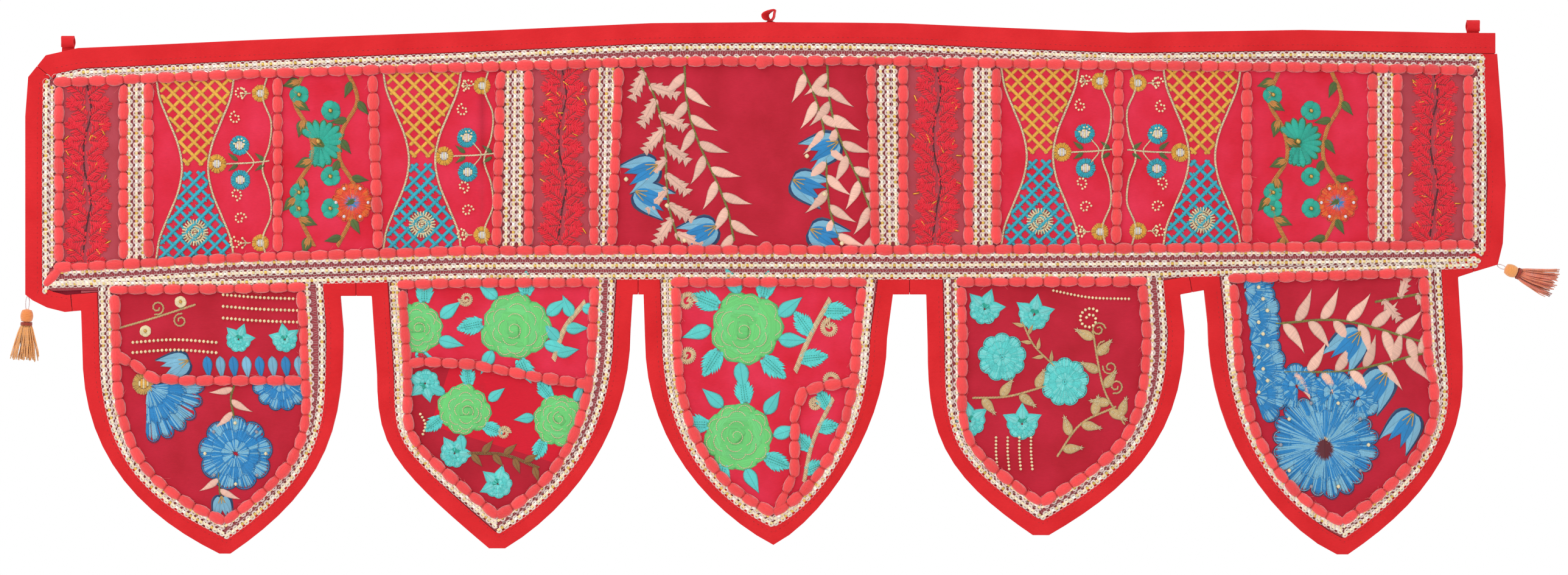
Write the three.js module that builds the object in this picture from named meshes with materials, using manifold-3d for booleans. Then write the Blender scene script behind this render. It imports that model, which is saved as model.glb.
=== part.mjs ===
// A toran: the embroidered cloth hanging that goes over a doorway. A patched band with bound edges
// carries five pointed pennants, three hanging loops and a tassel at each lower corner of the band.
// Millimetres. The origin is the middle of the top edge. +X runs to the right along the band,
// -Y faces the viewer and +Z is up.
import * as THREE from 'three';
import { mergeVertices } from 'three/addons/utils/BufferGeometryUtils.js';
import Module from 'manifold-3d';

const wasm = await Module();
wasm.setup();

// Driving dimensions
const BAND_LEFT = -508;
const BAND_RIGHT = 508;
const CORNER_LEFT = -494;
const CORNER_RIGHT = 501;
const CHAMFER_MIDDLE = [-500, -30.5];
const GAP = 0.3;
const BINDING_WIDTH = 11.5;
const TOP_BINDING_WIDTH = 14;
const BINDING_WEB = 1.1;
const GROUND_SHY = 1.4;
const ROVING_WIDTH = 7;
const ROVING_CHEEK = 0.7;
const ROW_STEPS = 16;
const SIDE_YARN_STEPS = 16;
const SEAM_YARN_STEPS = 14;
const POINT_LIFT = 22;
const POINT_LIFT_SHARE = 1.5;
const TAPE = 1;
// Neighbouring triangles this near to one plane are joined again after a piece is split and bent
const FLAT_WITHIN = 0.002;
const ON_PLANE = 0.001;
const WELD = 0.0001;
const HAIR = 0.01;

// How deep each layer lies: its front and its back
const GROUND = { front: 0, back: 1.2 };
const PATCH = { front: -1.3, back: -0.3 };
const LACE = { front: -1.5, back: -0.3 };
const BINDING_FRONT = { front: -1.9, back: -0.3 };
const BINDING_BACK = { front: 1.5, back: 2.5 };
const BINDING_EDGE = { front: -1.9, back: 2.5 };
const ROVING = { front: -5, shoulder: -4.2, back: -1.8 };
const CLEAR_THROUGH = { front: -12, back: 12 };

// Rows that run across the band. Heights of: the bound top edge, the middle of the top roving, the middle
// of the roving under the patches, and the middle of the roving that the pennants are sewn in under.
const ROWS = [
  { x: -494, edge: -23, top: -41.5, bottom: -168.5, lower: -184.5 },
  { x: -472, edge: -18, top: -41, bottom: -168, lower: -184 },
  { x: -365, edge: -13, top: -36, bottom: -162, lower: -183 },
  { x: -203, edge: -6.5, top: -31, bottom: -157, lower: -179 },
  { x: -79, edge: -1, top: -27.5, bottom: -156.5, lower: -178.5 },
  { x: 0, edge: 0, top: -26.5, bottom: -156.5, lower: -178.5 },
  { x: 93, edge: -1, top: -27, bottom: -156.5, lower: -178.5 },
  { x: 249, edge: -7.5, top: -30, bottom: -155.5, lower: -178 },
  { x: 368, edge: -5.5, top: -31, bottom: -154.5, lower: -174.5 },
  { x: 470, edge: -7.5, top: -33, bottom: -153, lower: -171.5 },
  { x: 501, edge: -7.5, top: -33.5, bottom: -152.5, lower: -170 },
];

// Seams that run down the band, where each piece's right edge is: at the top row and at the bottom row.
const SEAMS = [
  { x: -485, foot: -485, left: 'lace_left' },
  { x: -441, foot: -441, left: 'patch_sheer_1' },
  { x: -424, foot: -424, left: 'lace_1' },
  { x: -335, foot: -335, left: 'patch_lattice_1' },
  { x: -270, foot: -266, left: 'patch_flower_1' },
  { x: -182, foot: -185, left: 'patch_lattice_2' },
  { x: -163, foot: -163, left: 'lace_2' },
  { x: -118, foot: -118, left: 'patch_sheer_2' },
  { x: -101, foot: -106, left: 'lace_3' },
  { x: 72, foot: 75, left: 'patch_centre' },
  { x: 94, foot: 94, left: 'lace_4' },
  { x: 139, foot: 139, left: 'patch_sheer_3' },
  { x: 158, foot: 158, left: 'lace_5' },
  { x: 242, foot: 240, left: 'patch_lattice_3' },
  { x: 330, foot: 330, left: 'patch_lattice_4' },
  { x: 416, foot: 416, left: 'patch_flower_2' },
  { x: 433, foot: 433, left: 'lace_6' },
  { x: 482, foot: 482, left: 'patch_sheer_4' },
];
const LAST_PIECE = 'lace_right';

// The band's upright edges, from the top down
const LEFT_EDGE = [[-506, -38], [-508, -65], [-508, -187], [-503, -191], [-493, -196], [-481, -199]];
const RIGHT_EDGE = [[501, -7.5], [506, -73], [508, -112], [506, -152], [502.5, -166.5]];

// Each pennant's sides. headX, headZ: where the side leaves the band. shoulderX, shoulderZ: the end of the
// straight part. belly: how far the curve keeps going down. slope: its angle at the point, in degrees.
// run: how far it keeps that slope. lace: from the edge to the middle of the roving.
const PENNANTS = [
  {
    name: 'pennant_1', point: [-372, -365], blunt: 7.5, sway: -2, curl: 3,
    left: {
      headX: -470, headZ: -198, shoulderX: -469, shoulderZ: -224,
      belly: 84, slope: 26, run: 46, lace: 23,
    },
    right: {
      headX: -292, headZ: -188, shoulderX: -290, shoulderZ: -211,
      belly: 60, slope: 34, run: 88, lace: 27,
    },
  },
  {
    name: 'pennant_2', point: [-184.5, -361], blunt: 11, sway: 1.5, curl: -2.5,
    left: {
      headX: -270.5, headZ: -188, shoulderX: -267, shoulderZ: -242,
      belly: 48, slope: 40, run: 90, lace: 21,
    },
    right: {
      headX: -91.5, headZ: -187, shoulderX: -93, shoulderZ: -211,
      belly: 88, slope: 30, run: 28, lace: 26,
    },
  },
  {
    name: 'pennant_3', point: [5, -359], blunt: 0, sway: -1.5, curl: 2,
    left: {
      headX: -84, headZ: -187, shoulderX: -83, shoulderZ: -217,
      belly: 88, slope: 26, run: 22, lace: 22,
    },
    right: {
      headX: 87, headZ: -187, shoulderX: 83, shoulderZ: -217,
      belly: 64, slope: 26, run: 34, lace: 21,
    },
  },
  {
    name: 'pennant_4', point: [188.5, -352], blunt: 11, sway: 2, curl: -2,
    left: {
      headX: 110, headZ: -187, shoulderX: 111, shoulderZ: -222,
      belly: 60, slope: 34, run: 76, lace: 24,
    },
    right: {
      headX: 284, headZ: -187, shoulderX: 287, shoulderZ: -212,
      belly: 68, slope: 30, run: 70, lace: 26,
    },
  },
  {
    name: 'pennant_5', point: [395, -365], blunt: 7.5, sway: -1, curl: -3,
    left: {
      headX: 300.5, headZ: -184, shoulderX: 303, shoulderZ: -207,
      belly: 92, slope: 22, run: 28, lace: 20,
    },
    right: {
      headX: 475, headZ: -175, shoulderX: 478, shoulderZ: -224,
      belly: 28, slope: 34, run: 106, lace: 24,
    },
  },
];
const SIDE_STEPS = 13;
// Where the ends' bindings meet the bindings of the outer pennants
const STEP_END_LEFT = [-476, -198.5];
const STEP_END_RIGHT = [486, -171.5];

// Seams inside three of the pennants. Each is a line across; the piece below it, or to its right, is the
// second patch.
const PENNANT_SEAMS = {
  pennant_1: [[-462, -225], [-445, -229], [-432, -236], [-421.5, -244.5], [-400, -246], [-280, -246.5]],
  pennant_2: [[-270, -240], [-236, -233], [-202, -235], [-155, -244], [-100, -250]],
  pennant_3: [[8, -370], [12, -326], [19.5, -308], [20, -269], [25, -254], [37, -250], [80, -243]],
};

const BELOW_ALL = -400;

// Soft folds down the hanging: where each crest or hollow runs and how far it stands back
const FOLDS = [
  { x: -600, back: -1 },
  { x: -508, back: -1.5 },
  { x: -410, back: 1.5 },
  { x: -300, back: -1.5 },
  { x: -195, back: 1 },
  { x: -80, back: -1.5 },
  { x: -3.5, back: 2.5 },
  { x: 65, back: -1 },
  { x: 165, back: 1.5 },
  { x: 270, back: -2.5 },
  { x: 345, back: 0.5 },
  { x: 430, back: -1 },
  { x: 508, back: 2 },
  { x: 600, back: 2 },
];
// Each pennant leans by its sway at the first height and by its curl at its point
const SWAY_START = -200;
const SWAY_HEIGHT = -268;
const CURL_HEIGHT = -366;

const COLOURS = {
  ground: 0x7d1c2c,
  binding: 0xd6262d,
  patch: 0xb01f3a,
  sheer: 0xa6323f,
  lattice: 0xc79a3f,
  lace: 0xe6cdbb,
  roving: 0xf05a58,
  tassel: 0xef9a62,
};

const CLOTH_ROUGHNESS = 0.85;

function material(colour) {
  return new THREE.MeshStandardMaterial({ color: colour, roughness: CLOTH_ROUGHNESS, metalness: 0 });
}

// Reading the tables

function between(rows, x, column) {
  let i = 1;
  while (i < rows.length - 1 && x > rows[i].x) i += 1;
  const a = rows[i - 1];
  const b = rows[i];
  const share = THREE.MathUtils.clamp((x - a.x) / (b.x - a.x), 0, 1);
  return THREE.MathUtils.lerp(a[column], b[column], share);
}

function foldDepth(x) {
  return between(FOLDS, x, 'back');
}

function leanDepth(pennant, z) {
  if (!pennant || z >= SWAY_START) return 0;
  if (z >= SWAY_HEIGHT) return (pennant.sway * (SWAY_START - z)) / (SWAY_START - SWAY_HEIGHT);
  const share = (SWAY_HEIGHT - z) / (SWAY_HEIGHT - CURL_HEIGHT);
  return THREE.MathUtils.lerp(pennant.sway, pennant.curl, share);
}

// The points of one row from x0 to x1, with a point at each of the table's stations between them
function rowPoints(column, x0, x1, shift = 0) {
  const inner = ROWS.map((row) => row.x).filter((x) => x > x0 + 1 && x < x1 - 1);
  return [x0, ...inner, x1].map((x) => [x, between(ROWS, x, column) + shift]);
}

// Solids

function solidOf(geometry) {
  const bare = geometry.clone();
  bare.deleteAttribute('normal');
  bare.deleteAttribute('uv');
  const merged = mergeVertices(bare, WELD);
  const vertProperties = new Float32Array(merged.attributes.position.array);
  const triVerts = new Uint32Array(merged.index.array);
  return new wasm.Manifold(new wasm.Mesh({ numProp: 3, vertProperties, triVerts }));
}

function surfaceOf(places, corners) {
  const geometry = new THREE.BufferGeometry();
  geometry.setAttribute('position', new THREE.Float32BufferAttribute(places, 3));
  geometry.setIndex(corners);
  return geometry;
}

function union(solids) {
  return solids.reduce((whole, piece) => whole.add(piece));
}

function cut(solid, tools) {
  return tools.reduce((whole, tool) => whole.subtract(tool), solid);
}

// A flat piece with this outline in the plane of the band
function slab(outline, layer) {
  const shape = new THREE.Shape(outline.map(([x, z]) => new THREE.Vector2(x, z)));
  const geometry = new THREE.ExtrudeGeometry(shape, {
    depth: layer.back - layer.front,
    bevelEnabled: false,
  });
  geometry.rotateX(Math.PI / 2);
  geometry.translate(0, layer.back, 0);
  return solidOf(geometry);
}

// A round-backed yarn laid along a curve in the plane of the band
function yarn(curve, steps) {
  const half = ROVING_WIDTH / 2;
  const section = new THREE.Shape([
    new THREE.Vector2(-ROVING.back, -half),
    new THREE.Vector2(-ROVING.shoulder, -half * ROVING_CHEEK),
    new THREE.Vector2(-ROVING.front, 0),
    new THREE.Vector2(-ROVING.shoulder, half * ROVING_CHEEK),
    new THREE.Vector2(-ROVING.back, half),
  ]);
  return solidOf(new THREE.ExtrudeGeometry(section, { steps, extrudePath: curve }));
}

// A straight run. A level one gets a hair of slope, which keeps a yarn's section the right way up on it.
function straight(a, b) {
  const slope = a[1] === b[1] ? HAIR : 0;
  return new THREE.LineCurve3(new THREE.Vector3(a[0], 0, a[1]), new THREE.Vector3(b[0], 0, b[1] - slope));
}

// Moves a line sideways by a distance: to its right as the viewer sees it when distance is above 0.
// The corners are mitred.
function offset(points, distance) {
  const normals = [];
  for (let i = 0; i < points.length - 1; i += 1) {
    const dx = points[i + 1][0] - points[i][0];
    const dz = points[i + 1][1] - points[i][1];
    const length = Math.hypot(dx, dz);
    normals.push([dz / length, -dx / length]);
  }
  return points.map(([x, z], i) => {
    const a = normals[Math.max(i - 1, 0)];
    const b = normals[Math.min(i, normals.length - 1)];
    const scale = distance / (1 + a[0] * b[0] + a[1] * b[1]);
    return [x + (a[0] + b[0]) * scale, z + (a[1] + b[1]) * scale];
  });
}

// Takes a little off both ends of a line, so that two pieces on one line stay apart
function shortened(points, amount) {
  const line = points.map((p) => [...p]);
  for (const [end, next] of [[0, 1], [line.length - 1, line.length - 2]]) {
    const dx = line[next][0] - line[end][0];
    const dz = line[next][1] - line[end][1];
    const share = amount / Math.hypot(dx, dz);
    line[end] = [line[end][0] + dx * share, line[end][1] + dz * share];
  }
  return line;
}

// Folds and leans

// Splits every triangle that crosses the plane where the axis has this value, without opening the surface
function splitAt(mesh, axis, value) {
  const { places, triangles } = mesh;
  const made = new Map();
  const side = (i) => {
    const d = places[i][axis] - value;
    return Math.abs(d) < ON_PLANE ? 0 : Math.sign(d);
  };
  const crossing = (i, j) => {
    const key = i < j ? `${i} ${j}` : `${j} ${i}`;
    if (!made.has(key)) {
      const share = (value - places[i][axis]) / (places[j][axis] - places[i][axis]);
      made.set(key, places.length);
      places.push(places[i].map((v, k) => v + (places[j][k] - v) * share));
    }
    return made.get(key);
  };
  const result = [];
  for (const triangle of triangles) {
    const sides = triangle.map(side);
    if (!sides.includes(1) || !sides.includes(-1)) {
      result.push(triangle);
      continue;
    }
    const alone = (s) => sides.filter((t) => t === s).length === 1;
    const turn = sides.includes(0) ? sides.indexOf(0) : sides.findIndex(alone);
    const [a, b, c] = [0, 1, 2].map((k) => triangle[(turn + k) % 3]);
    if (side(a) === 0) {
      const m = crossing(b, c);
      result.push([a, b, m], [a, m, c]);
    } else {
      const m = crossing(a, b);
      const n = crossing(a, c);
      result.push([a, m, n], [m, b, c], [m, c, n]);
    }
  }
  return { places, triangles: result };
}

// Lays a flat piece over the folds. Layers that lie over each other bend along the same lines, so the
// room between them stays as it is.
function draped(solid, pennant) {
  const flat = solid.getMesh();
  let mesh = { places: [], triangles: [] };
  for (let i = 0; i < flat.vertProperties.length; i += 3) {
    mesh.places.push(Array.from(flat.vertProperties.slice(i, i + 3)));
  }
  for (let i = 0; i < flat.triVerts.length; i += 3) {
    mesh.triangles.push(Array.from(flat.triVerts.slice(i, i + 3)));
  }
  for (const fold of FOLDS.slice(1, -1)) mesh = splitAt(mesh, 0, fold.x);
  if (pennant) {
    mesh = splitAt(mesh, 2, SWAY_START);
    mesh = splitAt(mesh, 2, SWAY_HEIGHT);
  }
  for (const place of mesh.places) place[1] += foldDepth(place[0]) + leanDepth(pennant, place[2]);
  const split = surfaceOf(mesh.places.flat(), mesh.triangles.flat());
  const joined = solidOf(split).simplify(FLAT_WITHIN).getMesh();
  return surfaceOf(joined.vertProperties, Array.from(joined.triVerts));
}

// Pennants

function sideCurve(pennant, hand, inset, lift) {
  const side = pennant[hand];
  const inward = hand === 'left' ? 1 : -1;
  const half = Math.max(pennant.blunt / 2 - inset, 0);
  const shoulder = new THREE.Vector3(side.shoulderX + inward * inset, 0, side.shoulderZ);
  const point = new THREE.Vector3(pennant.point[0] - inward * half, 0, pennant.point[1] + lift);
  const angle = THREE.MathUtils.degToRad(side.slope);
  const belly = new THREE.Vector3(shoulder.x, 0, shoulder.z - side.belly);
  const flank = new THREE.Vector3(-inward * Math.cos(angle), 0, Math.sin(angle));
  flank.multiplyScalar(side.run).add(point);
  return new THREE.CubicBezierCurve3(shoulder, belly, flank, point);
}

// A pennant's outer edge: down its left side, round its point and up its right side
function pennantEdge(pennant) {
  const flat = (v) => [v.x, v.z];
  const left = sideCurve(pennant, 'left', 0, 0).getSpacedPoints(SIDE_STEPS).map(flat);
  const right = sideCurve(pennant, 'right', 0, 0).getSpacedPoints(SIDE_STEPS).map(flat).reverse();
  if (pennant.blunt === 0) right.shift();
  const headLeft = [pennant.left.headX, pennant.left.headZ];
  const headRight = [pennant.right.headX, pennant.right.headZ];
  return [headLeft, ...left, ...right, headRight];
}

// The outline of what lies inside the pennant's roving, moved in by a further distance
function pennantField(pennant, further) {
  const flat = (v) => [v.x, v.z];
  const lift = POINT_LIFT + further * POINT_LIFT_SHARE;
  const inner = (hand) => sideCurve(pennant, hand, pennant[hand].lace + further, lift);
  const curves = [inner('left'), inner('right')];
  const left = curves[0].getSpacedPoints(SIDE_STEPS).map(flat);
  const right = curves[1].getSpacedPoints(SIDE_STEPS).map(flat).reverse().slice(1);
  const row = rowPoints('lower', left[0][0], right.at(-1)[0], -GAP).reverse();
  return [...left, ...right, ...row];
}

function notchMiddle(leftPennant, rightPennant) {
  const a = leftPennant.right;
  const b = rightPennant.left;
  return [(a.headX + b.headX) / 2, (a.headZ + b.headZ) / 2];
}

// Bindings: a strip folded over the raw edge, with a leg in front, a leg behind and the fold between them

const topLine = [CHAMFER_MIDDLE, ...rowPoints('edge', CORNER_LEFT, CORNER_RIGHT)];
const leftLine = [CHAMFER_MIDDLE, ...LEFT_EDGE, STEP_END_LEFT].reverse();
const rightLine = [...RIGHT_EDGE, STEP_END_RIGHT];

function bindingSpecs() {
  const specs = [
    { name: 'binding_top', line: topLine, width: TOP_BINDING_WIDTH, outside: 12 },
    { name: 'binding_left', line: leftLine, width: BINDING_WIDTH, outside: 12 },
    { name: 'binding_right', line: rightLine, width: BINDING_WIDTH + 1, outside: 12 },
  ];
  PENNANTS.forEach((pennant, i) => {
    const from = i === 0 ? STEP_END_LEFT : notchMiddle(PENNANTS[i - 1], pennant);
    const to = i === PENNANTS.length - 1 ? STEP_END_RIGHT : notchMiddle(pennant, PENNANTS[i + 1]);
    const line = [from, ...pennantEdge(pennant), to].reverse();
    specs.push({ name: `binding_${pennant.name}`, line, width: BINDING_WIDTH, outside: 3, pennant });
  });
  return specs;
}

function strip(line, from, to) {
  return [...offset(line, from), ...offset(line, to).reverse()];
}

// The top binding runs through at the right corner, so the end's binding starts under it
function underTopBinding() {
  const under = RIGHT_EDGE[0][1] - TOP_BINDING_WIDTH - GAP;
  const reach = 2 * TOP_BINDING_WIDTH;
  const left = CORNER_RIGHT - reach;
  const right = CORNER_RIGHT + reach;
  return slab([[left, under], [right, under], [right, reach], [left, reach]], CLEAR_THROUGH);
}

function bindingSolid(spec) {
  const line = shortened(spec.line, GAP / 2);
  const whole = union([
    slab(strip(line, 0, spec.width), BINDING_FRONT),
    slab(strip(line, 0, spec.width), BINDING_BACK),
    slab(strip(line, 0, BINDING_WEB), BINDING_EDGE),
  ]);
  return spec.name === 'binding_right' ? whole.subtract(underTopBinding()) : whole;
}

// The room that a binding needs, so that whatever lies beside it can be cut back from it
function bindingRoom(spec) {
  return slab(strip(spec.line, -spec.outside, spec.width + GAP), CLEAR_THROUGH);
}

// Pieces of the band

const bindings = bindingSpecs();
const rooms = bindings.map(bindingRoom);
const pieces = [];

function add(name, solid, colour, pennant) {
  pieces.push({ name, solid, colour, pennant });
}

function bandGround() {
  const hem = PENNANTS.flatMap((p) => [[p.left.headX, p.left.headZ], [p.right.headX, p.right.headZ]]);
  const clockwise = [
    ...rowPoints('edge', CORNER_LEFT, CORNER_RIGHT),
    ...RIGHT_EDGE.slice(1),
    ...hem.reverse(),
    ...[...LEFT_EDGE].reverse(),
  ];
  const closed = [clockwise.at(-1), ...clockwise, clockwise[0]];
  return slab(offset(closed, GROUND_SHY).slice(1, -1), GROUND);
}

function bandPiece(from, to) {
  const left = [[from.x + GAP / 2, 'top'], [from.foot + GAP / 2, 'bottom']];
  const right = [[to.x - GAP / 2, 'top'], [to.foot - GAP / 2, 'bottom']];
  return [
    ...rowPoints('top', left[0][0], right[0][0], -GAP / 2),
    ...rowPoints('bottom', left[1][0], right[1][0], GAP / 2).reverse(),
  ];
}

function addBandPieces() {
  const first = { x: BAND_LEFT, foot: BAND_LEFT };
  const last = { x: BAND_RIGHT, foot: BAND_RIGHT, left: LAST_PIECE };
  const ends = [first, ...SEAMS, last];
  ends.slice(1).forEach((seam, i) => {
    const name = seam.left;
    const isLace = name.startsWith('lace');
    const kind = isLace ? 'lace' : name.split('_')[1];
    const flat = slab(bandPiece(ends[i], seam), isLace ? LACE : PATCH);
    const solid = isLace ? cut(flat, rooms.slice(0, 3)) : flat;
    add(name, solid, COLOURS[kind] ?? COLOURS.patch);
  });
}

function addCrossLaces() {
  const edge = rowPoints('edge', BAND_LEFT, BAND_RIGHT);
  const top = rowPoints('top', BAND_LEFT, BAND_RIGHT, GAP / 2).reverse();
  add('lace_top', cut(slab([...edge, ...top], LACE), rooms), COLOURS.lace);
  const upper = rowPoints('bottom', BAND_LEFT, BAND_RIGHT, -GAP / 2);
  const lower = rowPoints('lower', BAND_LEFT, BAND_RIGHT).reverse();
  add('lace_bottom', cut(slab([...upper, ...lower], LACE), rooms), COLOURS.lace);
}

function bandRoving() {
  const along = ['top', 'bottom'].map((column) => {
    const stations = rowPoints(column, BAND_LEFT, BAND_RIGHT);
    const curve = new THREE.CatmullRomCurve3(stations.map(([x, z]) => new THREE.Vector3(x, 0, z)));
    return yarn(curve, ROW_STEPS);
  });
  const down = SEAMS.map((seam) => {
    const head = [seam.x, between(ROWS, seam.x, 'top')];
    const foot = [seam.foot, between(ROWS, seam.foot, 'bottom')];
    return yarn(straight(head, foot), 1);
  });
  return cut(union([...along, ...down]), rooms.slice(0, 3));
}

// Pieces of the pennants

function pennantGround(pennant) {
  const edge = offset(pennantEdge(pennant), -GROUND_SHY);
  const rise = GROUND_SHY - GAP;
  edge[0] = [edge[0][0], pennant.left.headZ + rise];
  edge[edge.length - 1] = [edge.at(-1)[0], pennant.right.headZ + rise];
  return slab(edge, GROUND);
}

function pennantLace(pennant, room) {
  const { left, right } = pennant;
  const edge = pennantEdge(pennant).slice(1, -1);
  const row = rowPoints('lower', left.headX, right.headX, -GAP).reverse();
  return cut(slab([...edge, ...row], LACE), [...room, slab(pennantField(pennant, -GAP), CLEAR_THROUGH)]);
}

function pennantPatches(pennant) {
  const field = slab(pennantField(pennant, 0), PATCH);
  const seam = PENNANT_SEAMS[pennant.name];
  if (!seam) return [field];
  const outside = [[seam.at(-1)[0], BELOW_ALL], [seam[0][0], BELOW_ALL]];
  const second = slab([...seam, ...outside], CLEAR_THROUGH);
  const seamRoom = slab([...offset(seam, -GAP), ...outside], CLEAR_THROUGH);
  return [field.subtract(seamRoom), field.intersect(second)];
}

// The yarn over the seam inside a pennant, from one side's yarn to the other's
function innerRoving(pennant) {
  const seam = PENNANT_SEAMS[pennant.name];
  if (!seam) return [];
  const path = new THREE.CatmullRomCurve3(seam.map(([x, z]) => new THREE.Vector3(x, 0, z)));
  return [yarn(path, SEAM_YARN_STEPS).intersect(slab(pennantField(pennant, 0), CLEAR_THROUGH))];
}

function pennantRoving(pennant, room) {
  const sides = ['left', 'right'].map((hand) => {
    const side = pennant[hand];
    const curve = sideCurve(pennant, hand, side.lace, POINT_LIFT);
    const path = new THREE.CurvePath();
    const head = new THREE.Vector3(curve.v0.x, 0, between(ROWS, curve.v0.x, 'lower'));
    path.add(new THREE.LineCurve3(head, curve.v0));
    path.add(curve);
    return yarn(path, SIDE_YARN_STEPS);
  });
  const from = pennant.left.headX + BINDING_WIDTH + GAP;
  const to = pennant.right.headX - BINDING_WIDTH - GAP;
  const across = yarn(straight([from, between(ROWS, from, 'lower')], [to, between(ROWS, to, 'lower')]), 1);
  return cut(union([across, ...sides, ...innerRoving(pennant)]), room);
}

function addPennants() {
  PENNANTS.forEach((pennant) => {
    add(`${pennant.name}_ground`, pennantGround(pennant), COLOURS.ground, pennant);
    add(`${pennant.name}_lace`, pennantLace(pennant, rooms.slice(1)), COLOURS.lace, pennant);
    pennantPatches(pennant).forEach((solid, i) => {
      add(`${pennant.name}_patch_${i + 1}`, solid, COLOURS.patch, pennant);
    });
    add(`${pennant.name}_roving`, pennantRoving(pennant, rooms.slice(1)), COLOURS.roving, pennant);
  });
}

// Hanging loops: a folded tape that stands up from a tab sewn behind the top binding
const LOOPS = [
  { name: 'loop_left', x: -479.5, z: -18.5, lean: 0, turned: true, tape: 9 },
  { name: 'loop_centre', x: 2.5, z: 0, lean: 0.8, turned: false, tape: 6.5 },
  { name: 'loop_right', x: 486, z: -7.5, lean: 0, turned: true, tape: 9 },
];
const LOOP = {
  halfWidth: 4,
  halfHeight: 4.6,
  foot: 0.4,
  sides: 16,
  tabDrop: 9,
  tabWidth: 8.5,
  clothMiddle: 2.4,
};

function ring(halfWidth, halfHeight, lean) {
  const points = [];
  for (let i = 0; i < LOOP.sides; i += 1) {
    const angle = (2 * Math.PI * i) / LOOP.sides;
    const up = Math.sin(angle);
    points.push([halfWidth * Math.cos(angle) + (lean * (up + 1) ** 2) / 4, halfHeight * up]);
  }
  return points;
}

function loopSolid(row) {
  const depth = { front: -row.tape / 2, back: row.tape / 2 };
  const outer = slab(ring(LOOP.halfWidth, LOOP.halfHeight, row.lean), depth);
  const inner = slab(ring(LOOP.halfWidth - TAPE, LOOP.halfHeight - TAPE, row.lean), CLEAR_THROUGH);
  const standing = outer
    .subtract(inner)
    .rotate([0, 0, row.turned ? 90 : 0])
    .translate([row.x, LOOP.clothMiddle, row.z + LOOP.foot + LOOP.halfHeight]);
  const half = LOOP.tabWidth / 2;
  const tab = slab(
    [
      [row.x - half, row.z - LOOP.tabDrop],
      [row.x + half, row.z - LOOP.tabDrop],
      [row.x + half, row.z + LOOP.foot + TAPE],
      [row.x - half, row.z + LOOP.foot + TAPE],
    ],
    { front: BINDING_BACK.back + GAP, back: BINDING_BACK.back + GAP + TAPE },
  );
  return standing.add(tab);
}

// Tassels: a thread, a wound head, a wrap and a skirt of strands that are joined at the wrap. turn is the
// way the tassel points, in degrees from straight down towards +X.
const TASSELS = [
  { name: 'tassel_left', top: [-506.6, -188.8], turn: -3, thread: 8, length: 25, fan: 11, droop: 0 },
  { name: 'tassel_right', top: [502.8, -166.95], turn: 68, thread: 5, length: 26, fan: 11, droop: 3 },
];
const TASSEL = {
  strands: 14,
  thread: 0.9,
  head: 4.6,
  headLength: 9,
  wrap: 4.2,
  wrapLength: 3,
  strand: 1.5,
  sides: 10,
  depth: 0.45,
  innerShare: 0.55,
};

function turnedProfile(points) {
  const profile = points.map(([r, z]) => new THREE.Vector2(r, z));
  const geometry = new THREE.LatheGeometry(profile, TASSEL.sides);
  geometry.rotateX(Math.PI / 2);
  return solidOf(geometry);
}

function tasselSolid(row) {
  const neck = -row.thread;
  const waist = neck - TASSEL.headLength;
  const foot = waist - TASSEL.wrapLength;
  const body = turnedProfile([
    [0, foot - 2],
    [TASSEL.wrap * 0.8, foot - 2],
    [TASSEL.wrap, foot],
    [TASSEL.wrap, waist],
    [TASSEL.wrap * 0.85, waist],
    [TASSEL.head, waist + TASSEL.headLength * 0.3],
    [TASSEL.head * 0.8, waist + TASSEL.headLength * 0.75],
    [TASSEL.thread, neck],
    [TASSEL.thread, 0],
    [0, 0],
  ]);
  const half = TASSEL.strand / 2;
  const section = new THREE.Shape([
    new THREE.Vector2(-half, -half),
    new THREE.Vector2(half, -half),
    new THREE.Vector2(half, half),
    new THREE.Vector2(-half, half),
  ]);
  const strands = [];
  for (let i = 0; i < TASSEL.strands; i += 1) {
    const angle = (2 * Math.PI * (i + 0.5)) / TASSEL.strands;
    const out = new THREE.Vector3(Math.cos(angle), Math.sin(angle) * TASSEL.depth, 0);
    if (i % 2 === 1) out.multiplyScalar(TASSEL.innerShare);
    const root = out.clone().multiplyScalar(TASSEL.wrap * 0.7).setZ(foot + 1);
    const bend = out.clone().multiplyScalar(row.fan * 0.75).setZ(foot - row.length * 0.4);
    const uneven = 0.93 + 0.07 * Math.cos(5 * i);
    const end = out.clone().multiplyScalar(row.fan).setZ(foot - row.length * uneven);
    end.x += row.droop;
    const curve = new THREE.QuadraticBezierCurve3(root, bend, end);
    strands.push(solidOf(new THREE.ExtrudeGeometry(section, { steps: 2, extrudePath: curve })));
  }
  return union([body, ...strands])
    .rotate([0, -row.turn, 0])
    .translate([row.top[0], 0, row.top[1]]);
}

// The whole hanging

add('band_ground', bandGround(), COLOURS.ground);
addBandPieces();
addCrossLaces();
add('band_roving', bandRoving(), COLOURS.roving);
addPennants();
bindings.forEach((spec) => add(spec.name, bindingSolid(spec), COLOURS.binding, spec.pennant));
LOOPS.forEach((row) => add(row.name, loopSolid(row), COLOURS.binding));
TASSELS.forEach((row) => add(row.name, tasselSolid(row), COLOURS.tassel));

const toran = new THREE.Group();
for (const { name, solid, colour, pennant } of pieces) {
  const mesh = new THREE.Mesh(draped(solid, pennant), material(colour));
  mesh.name = name;
  toran.add(mesh);
}

export default toran;
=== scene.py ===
# %% [markdown]
# # A toran, from the bound cloth up to the last bead
# A toran hangs over a doorway. This one is patchwork: embroidered pieces are laid on one maroon cloth, braid
# covers the joins' outer sides, and a thick soft yarn is tied down over every seam. The solids of the frame
# give each cloth its size and folds. Here every one of them gets its surface, its thread and its beads.
# All sizes are in millimetres until a mesh is finished, because that is how a maker would measure them.

# %% The frame
import math

import bmesh
import bpy
import numpy as np
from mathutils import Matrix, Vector
from mathutils.bvhtree import BVHTree


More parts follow.
